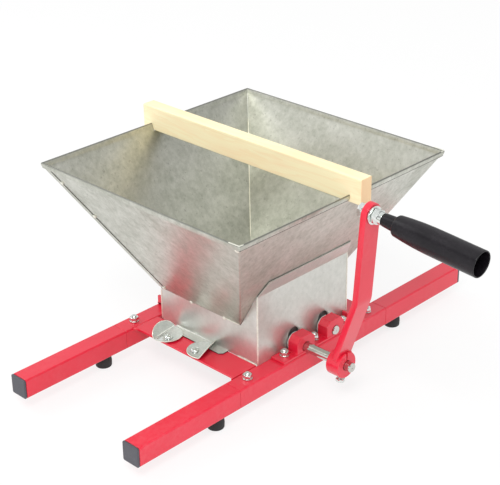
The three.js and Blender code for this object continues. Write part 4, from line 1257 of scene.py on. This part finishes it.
def add_latch(name, hand, turn, screw_turn):
    """A latch with its screw: how it is folded and turned comes from its place on the frame."""
    x, y, _ = (value / MM for value in joints[f"latch_{name}_turn"]["pos_m"])
    low = span(f"latch_{name}")[0][2]
    plate, rim, fold = [moved(turned(shell, turn), x, y, low + SHEET / 2) for shell in latch(hand)]
    add(f"latch_{name}", plate, sheet=SHEET, edge=0.25)
    add_trim(f"latch_{name}_rim", f"latch_{name}", "weld", rim, fold)
    low, high = reach_of(f"latch_screw_{name}", 2)
    seat, collar = RAIL_TOP + 0.3, RAIL_TOP + 1.5
    shank = [(seat, 0), (seat, 5), (collar, 5), (collar, SCREW_RADIUS)]
    shells = (
        pan_head(5.5, high - 3, 3, math.radians(turn + 40)),
        lathe([*shank, (high - 2.9, SCREW_RADIUS), (high - 2.9, 0)], 32),
        scaled(thread(SCREW_RADIUS, -(RAIL_TOP + 0.2), -low, 0.8, 0.35), z=-1),
        hexagon(9, low + 1, low + 5, screw_turn),
    )
    add(f"latch_screw_{name}", *[moved(shell, x, y) for shell in shells])


# Rollers, gears and shafts

RING_COUNT = 5
RING_PITCH = 32
RING_WIDTH = 14
RING_TEETH = 5
RING_TIP = 31
RING_ROOT = 19.5
HUB_RADIUS = 18
GEAR_TEETH = 16


def on_shaft(line, *shells):
    """Shells drawn along Z, laid along one of the two shafts."""
    return [moved(along("X", shell), 0, LINE_Y[line], SHAFT_Z) for shell in shells]


def ring_outline(way):
    """Five hooked teeth: each back climbs to a wide tip, and each front drops in a hook."""
    pitch = way * 2 * np.pi / RING_TEETH

    def at(radius, *shares):
        return polar(radius, np.array(shares) * pitch)

    back = curve(at(RING_ROOT, 0.02), at(RING_TIP - 1.9, 0.14), at(RING_TIP, 0.46), 9)
    front = curve(at(RING_TIP, 0.68), at(RING_ROOT + 2, 0.56), at(RING_ROOT, 0.8), 8)
    tip, root = at(RING_TIP, 0.51, 0.57, 0.63), at(RING_ROOT, 0.86, 0.91, 0.97)
    tooth = np.concatenate((back, tip, front, root))
    outline = np.concatenate([spun(tooth, k * pitch) for k in range(RING_TEETH)])
    return outline if way > 0 else outline[::-1]


def add_roller(line, way):
    """A hub with five toothed rings; the drive roller's rings start half a pitch further on."""
    low, high = reach_of(f"{line}_roller", 0)
    first = low + 1 + (RING_PITCH / 2 if line == "drive" else 0)
    hub = lathe([
        (low, SHAFT_BORE + 1), (low, HUB_RADIUS - 1), (low + 1, HUB_RADIUS),
        (high - 1, HUB_RADIUS), (high, HUB_RADIUS - 1), (high, SHAFT_BORE + 1),
        (high - 1, SHAFT_BORE), (low + 1, SHAFT_BORE), (low, SHAFT_BORE + 1),
    ])
    outline = ring_outline(way)
    inner = polar(HUB_RADIUS - 1, np.arctan2(outline[:, 1], outline[:, 0]))
    places = [first + k * RING_PITCH for k in range(RING_COUNT)]
    rings = [pipe(outline, inner, x, x + RING_WIDTH, 0.28) for x in places]
    add(f"{line}_roller", *on_shaft(line, hub, *rings))


def gear_outline(phase):
    """Involute teeth: at radius r the half tooth is pi / 2z (1 - 2b) + inv(pitch) - inv(r)."""
    pitch, module = SHAFT_GAP / 2, SHAFT_GAP / GEAR_TEETH
    base = pitch * math.cos(math.radians(20))
    radii = np.concatenate(([pitch - 1.2 * module], np.linspace(base, pitch + 0.9 * module, 7)))

    def involute(radius):
        roll = np.sqrt(np.maximum((radius / base) ** 2 - 1, 0))
        return roll - np.arctan(roll)

    half = np.pi / 2 / GEAR_TEETH * 0.91 + involute(pitch) - involute(radii)
    middle = (np.arange(GEAR_TEETH) + phase) * 2 * np.pi / GEAR_TEETH
    angles = middle[:, None] + np.concatenate((-half, half[::-1]))[None]
    return polar(np.tile(np.concatenate((radii, radii[::-1])), GEAR_TEETH), angles.ravel())


def add_gear(line, phase):
    """A gear bored for its shaft; the phase sets the teeth of one between those of the other."""
    low, high = reach_of(f"{line}_gear", 0)
    outline = gear_outline(phase)
    inner = polar(SHAFT_BORE, circle_angles(len(outline), math.atan2(outline[0, 1], outline[0, 0])))
    add(f"{line}_gear", *on_shaft(line, pipe(outline, inner, low, high, 0.3)))


def add_shaft(line):
    """Ground bar with bevelled ends and a centre mark in each."""
    low, high = reach_of(f"{line}_shaft", 0)
    near = [(low + 1.6, 0), (low, 1.5), (low, SHAFT_RADIUS - 0.8), (low + 0.8, SHAFT_RADIUS)]
    far = [(high - 0.8, SHAFT_RADIUS), (high, SHAFT_RADIUS - 0.8), (high, 1.5), (high - 1.6, 0)]
    add(f"{line}_shaft", *on_shaft(line, lathe(near + far)))


# Crank

ARM_HALF_WIDTH = 13
ARM_THICK = 8
ARM_FOOT = (158.8, -6)
ARM_BEND = (193.3, 94.6)
ARM_BEND_RADIUS = 30
ARM_LEAN = math.radians(4.3)
CRANK_RADIUS = 205
HUB = (154.5, 173.5)
HUB_OUTER = 16.3
HUB_SLOT_HALF = 1.5
HEAD_WASHER_RADIUS = 11
HEAD_WASHER_THICK = 2
FRONT_NUT_HEIGHT = 8
REAR_NUT_HEIGHT = 7
COLLAR_RADIUS = 7.5
COLLAR_HEIGHT = 4.5
SPINDLE_RADIUS = 4.6
GRIP_FLOOR = 62


def arm_bar():
    """The bar's rounded section along a bent line; its width at the top follows a half circle."""
    top = np.array((ARM_BEND[0] + (CRANK_RADIUS - ARM_BEND[1]) * math.tan(ARM_LEAN), CRANK_RADIUS))
    ahead = np.array((math.sin(ARM_LEAN), math.cos(ARM_LEAN)))
    crown = np.linspace(0, np.pi / 2, 16)
    lower = bent_line([ARM_FOOT, ARM_BEND, top], ARM_BEND_RADIUS, 14)[:-1]
    line = np.concatenate((lower, top + ARM_HALF_WIDTH * np.sin(crown)[:, None] * ahead))
    width = np.concatenate((np.full(len(lower), ARM_HALF_WIDTH), ARM_HALF_WIDTH * np.cos(crown)))
    width = np.maximum(width, 0.35)[:, None]
    forward = unit(np.gradient(line, axis=0))
    across = np.stack((forward[:, 1], -forward[:, 0]), -1)
    beside, through = rounded_box(2, ARM_THICK, 1.0, 4, 0).T
    y = np.clip(beside * 1e3, -1, 1) * (width - (1 - np.abs(beside)) * np.minimum(1, width))
    x, z = (line[:, k, None] + across[:, k, None] * through for k in (0, 1))
    return skin(np.stack((x, y, z), -1))


def crank_hub():
    """A drilled collar: r(a, x) drops from the rim to the bore in the slot on the outer half."""
    low, high = HUB
    middle = (low + high) / 2
    narrow = math.asin(HUB_SLOT_HALF / HUB_OUTER)
    edges = np.pi / 2 + np.array((-narrow - 1e-3, -narrow + 1e-3, narrow - 1e-3, narrow + 1e-3))
    angles = np.unique(np.concatenate((circle_angles(72), edges)))
    in_slot = np.abs(angles - np.pi / 2) < narrow
    outer = [(low, HUB_OUTER - 0.8), (low + 0.8, HUB_OUTER), (middle - 0.01, HUB_OUTER),
             (middle + 0.01, HUB_OUTER), (high - 0.8, HUB_OUTER), (high, HUB_OUTER - 0.8)]
    mouth = SHAFT_BORE + 0.4
    rows = [polar(np.where(in_slot & (x > middle), mouth, radius), angles, x)
            for x, radius in outer]
    bore = [(high, mouth), (high - 0.4, SHAFT_BORE), (low + 0.4, SHAFT_BORE), (low, mouth)]
    rows += [polar(radius, angles, x) for x, radius in bore]
    return along("X", skin(np.array(rows), closed=True))


def add_crank():
    """The bent arm welded to its hub, and the bolt that clamps the hub."""
    x = ARM_FOOT[0] + ARM_THICK / 2 + 5.6
    arc = polar(HUB_OUTER, np.linspace(0.15 * np.pi, 0.85 * np.pi, 24), x)
    path = arc[:, (2, 0, 1)] + (0, 0, 0.2)
    shells = (arm_bar(), crank_hub(), bead(path, 1.5, ripple=0.25))
    add("crank_arm", *[moved(shell, MIDDLE_X, DRIVE_Y, SHAFT_Z) for shell in shells])
    low, high = reach_of("hub_bolt", 2)
    head = hexagon(BOLT_HEX, low, low + BOLT_HEAD, 0.3)
    add("hub_bolt", *over("hub_bolt", head, scaled(thread(BOLT_RADIUS, -high, -low - 1), z=-1)))


def on_spindle(*shells):
    """Shells drawn along Z about the spindle, with zero at the middle of the bar."""
    joint = joints["grip_spin"]
    axis = Vector(joint["axis"]).normalized()
    side = Vector((0, 0, 1)).cross(axis).normalized()
    matrix = np.array(Matrix((axis.cross(side), side, axis)).transposed())
    return [(points @ matrix.T + np.array(joint["pos_m"]) / MM, faces) for points, faces in shells]


def add_head():
    """The stud through the bar: a washer and nut behind it, a washer and collared nut in front."""
    front, back = ARM_THICK / 2 + SEAT_GAP, -ARM_THICK / 2 - SEAT_GAP
    front_seat, back_seat = front + HEAD_WASHER_THICK, back - HEAD_WASHER_THICK
    nut = front_seat + SEAT_GAP
    collar = nut + FRONT_NUT_HEIGHT
    grip = collar + COLLAR_HEIGHT + SEAT_GAP
    end_nut = grip + GRIP_FLOOR + SEAT_GAP
    add("grip_spindle", *on_spindle(
        scaled(thread(5, 12, 14.6, 1.25, 0.55, 40), z=-1),
        stem(SPINDLE_RADIUS, -12.5, end_nut + 0.2, 40),
        hexagon(NUT_HEX, end_nut, end_nut + 6),
    ))
    rear_nut = hexagon(NUT_HEX, back_seat - REAR_NUT_HEIGHT, back_seat - 0.02, math.radians(24))
    add("rear_nut", *on_spindle(washer(HEAD_WASHER_RADIUS, back_seat, back), rear_nut))
    add("front_washer", *on_spindle(washer(HEAD_WASHER_RADIUS, front, front_seat)))
    front_nut = hexagon(NUT_HEX, nut, collar, math.radians(18))
    rim = washer(COLLAR_RADIUS, collar - 1, collar + COLLAR_HEIGHT)
    add("front_nut", *on_spindle(front_nut, rim))
    add_grip(grip)


def add_grip(start):
    """The grip's profile, turned: slim neck, step, long swell, rounded rim and hollow end."""
    length, floor, bore, radius, hollow = 128, GRIP_FLOOR, 5.25, 15.4, 13.8
    outside = rounded_profile([
        (0.0, bore), (0.0, 6.6), (1.2, 7.6), (17, 8.7), (17, 10.8), (18.6, 12.3), (32, 13.7),
        (47, 14.8), (62, 15.3), (80, 15.4), (length, radius), (length, hollow),
        (floor + 2, hollow - 0.5), (floor, hollow - 2), (floor, bore), (0.0, bore),
    ], 1.1, 5)
    add("grip", *on_spindle(moved(lathe(outside, 72), 0, 0, start)))


def add_machine():
    """All pieces of the mill."""
    for side in SIDES:
        add_rail(side)
    for side, end in ((side, end) for side in SIDES for end in ENDS):
        add_leg(side, end)
        add_cap(side, end)
        add_foot(side, end)
    for end in ENDS:
        add_crossbar(end)
    add_bolts()
    for side in SIDES:
        add_bracket(side)
    for side, line in ((side, line) for side in SIDES for line in LINES):
        add_bush(side, line)
    add_bin()
    add_batten()
    for index, (name, hand, turn) in enumerate(LATCH_HANDS):
        add_latch(name, hand, turn, 0.4 + index)
    for line in LINES:
        add_shaft(line)
    add_roller("drive", -1)
    add_roller("idler", 1)
    add_gear("drive", 0)
    add_gear("idler", 0.5)
    add_crank()
    add_head()


# Studio

CAMERA_PLACE = (0.9405, -1.0430, 0.8685)
CAMERA_WAY = (-0.62694, 0.63997, -0.44427)
CAMERA_ROLL = 0.787
CAMERA_LENS = 95.75
WHITE = (1, 1, 1, 1)
FLOOR_TONE = (0.95, 0.95, 0.95, 1)
FLOOR_GLOW = 0.78
FLOOR_HALF = 6
FLOOR_Z = -0.0005
SKY_LIGHT = 0.84


def put(name, data):
    """A scene object of the given data."""
    made = bpy.data.objects.new(name, data)
    bpy.context.scene.collection.objects.link(made)
    return made


def add_camera():
    """The photograph's view: a long lens from the crank side, a little above."""
    data = bpy.data.cameras.new("camera")
    data.lens, data.sensor_width = CAMERA_LENS, 36
    data.clip_start, data.clip_end = 0.05, 30
    camera = put("camera", data)
    way = Vector(CAMERA_WAY).normalized()
    level_right = way.cross(Vector((0, 0, 1))).normalized()
    right = Matrix.Rotation(math.radians(CAMERA_ROLL), 3, way) @ level_right
    turn = Matrix((right, right.cross(way), -way)).transposed()
    camera.matrix_world = Matrix.Translation(CAMERA_PLACE) @ turn.to_4x4()
    bpy.context.scene.camera = camera


def add_lamp(name, place, target, size, power):
    """A round soft lamp that looks at a target."""
    data = bpy.data.lights.new(name, "AREA")
    data.shape, data.size, data.energy = "DISK", size, power
    lamp = put(name, data)
    lamp.location = place
    lamp.rotation_euler = (Vector(target) - Vector(place)).to_track_quat("-Z", "Y").to_euler()


def seen_directly(tree):
    """Two masks: 1 on camera, glossy and transmission rays and 0 on those that light surfaces, and
    1 on glossy and transmission rays alone."""
    path = tree.nodes.new("ShaderNodeLightPath").outputs
    shine = arithmetic(tree, "MAXIMUM", path["Is Glossy Ray"], path["Is Transmission Ray"])
    return arithmetic(tree, "MAXIMUM", path["Is Camera Ray"], shine), shine


def tent(tree):
    """What bright metal sees of the studio: a white sweep, a dimmer wall over it, a lit ceiling."""
    way = axes(tree, tree.nodes.new("ShaderNodeTexCoord").outputs["Generated"])
    height = plus(tree, way["Z"], times(tree, way["Y"], 0.22))
    wall = ramp(tree, height, 0.16, 0.42, 1.0, 0.3)
    return arithmetic(tree, "MAXIMUM", wall, ramp(tree, height, 0.44, 0.6, 0.0, 0.94))


def add_world():
    """Even light from all round, which the camera sees as white."""
    world = bpy.data.worlds.new("world")
    world.use_nodes = True
    bpy.context.scene.world = world
    tree = world.node_tree
    seen, shine = seen_directly(tree)
    plain = ramp(tree, seen, 0, 1, SKY_LIGHT, 1.0)
    strength = times(tree, plain, ramp(tree, shine, 0, 1, 1.0, tent(tree)))
    link(tree, strength, tree.nodes["Background"].inputs["Strength"])
    link(tree, WHITE, tree.nodes["Background"].inputs["Color"])


def floor_finish():
    """White, and lit from itself for the camera, so that only a faint shadow is left on it."""
    material = bpy.data.materials.new("floor")
    material.use_nodes = True
    tree = material.node_tree
    shader = tree.nodes["Principled BSDF"]
    values = {"Base Color": FLOOR_TONE, "Roughness": 0.9, "Specular IOR Level": 0.0}
    for label, value in values.items():
        link(tree, value, shader.inputs[label])
    glow = step(tree, "ShaderNodeEmission", {"Color": WHITE, "Strength": 1.0})
    share = times(tree, seen_directly(tree)[0], FLOOR_GLOW)
    mixed = step(tree, "ShaderNodeMixShader", {0: share, 1: shader.outputs[0], 2: glow.outputs[0]})
    link(tree, mixed.outputs[0], tree.nodes["Material Output"].inputs["Surface"])
    return material


def add_floor():
    """A wide floor just below the feet."""
    mesh = bpy.data.meshes.new("floor")
    square = ((-1, -1), (1, -1), (1, 1), (-1, 1))
    corners = [(x * FLOOR_HALF, y * FLOOR_HALF, FLOOR_Z) for x, y in square]
    mesh.from_pydata(corners, [], [(0, 1, 2, 3)])
    mesh.materials.append(floor_finish())
    floor = put("floor", mesh)


bpy.context.scene.view_settings.view_transform = "Standard"
add_camera()
add_world()
add_floor()
add_lamp("key", (0.7, -1.2, 1.9), (-0.05, 0, 0.15), 1.1, 24)
add_lamp("fill", (-1.6, -0.6, 1.5), (0, 0, 0.15), 1.2, 8)
add_machine()
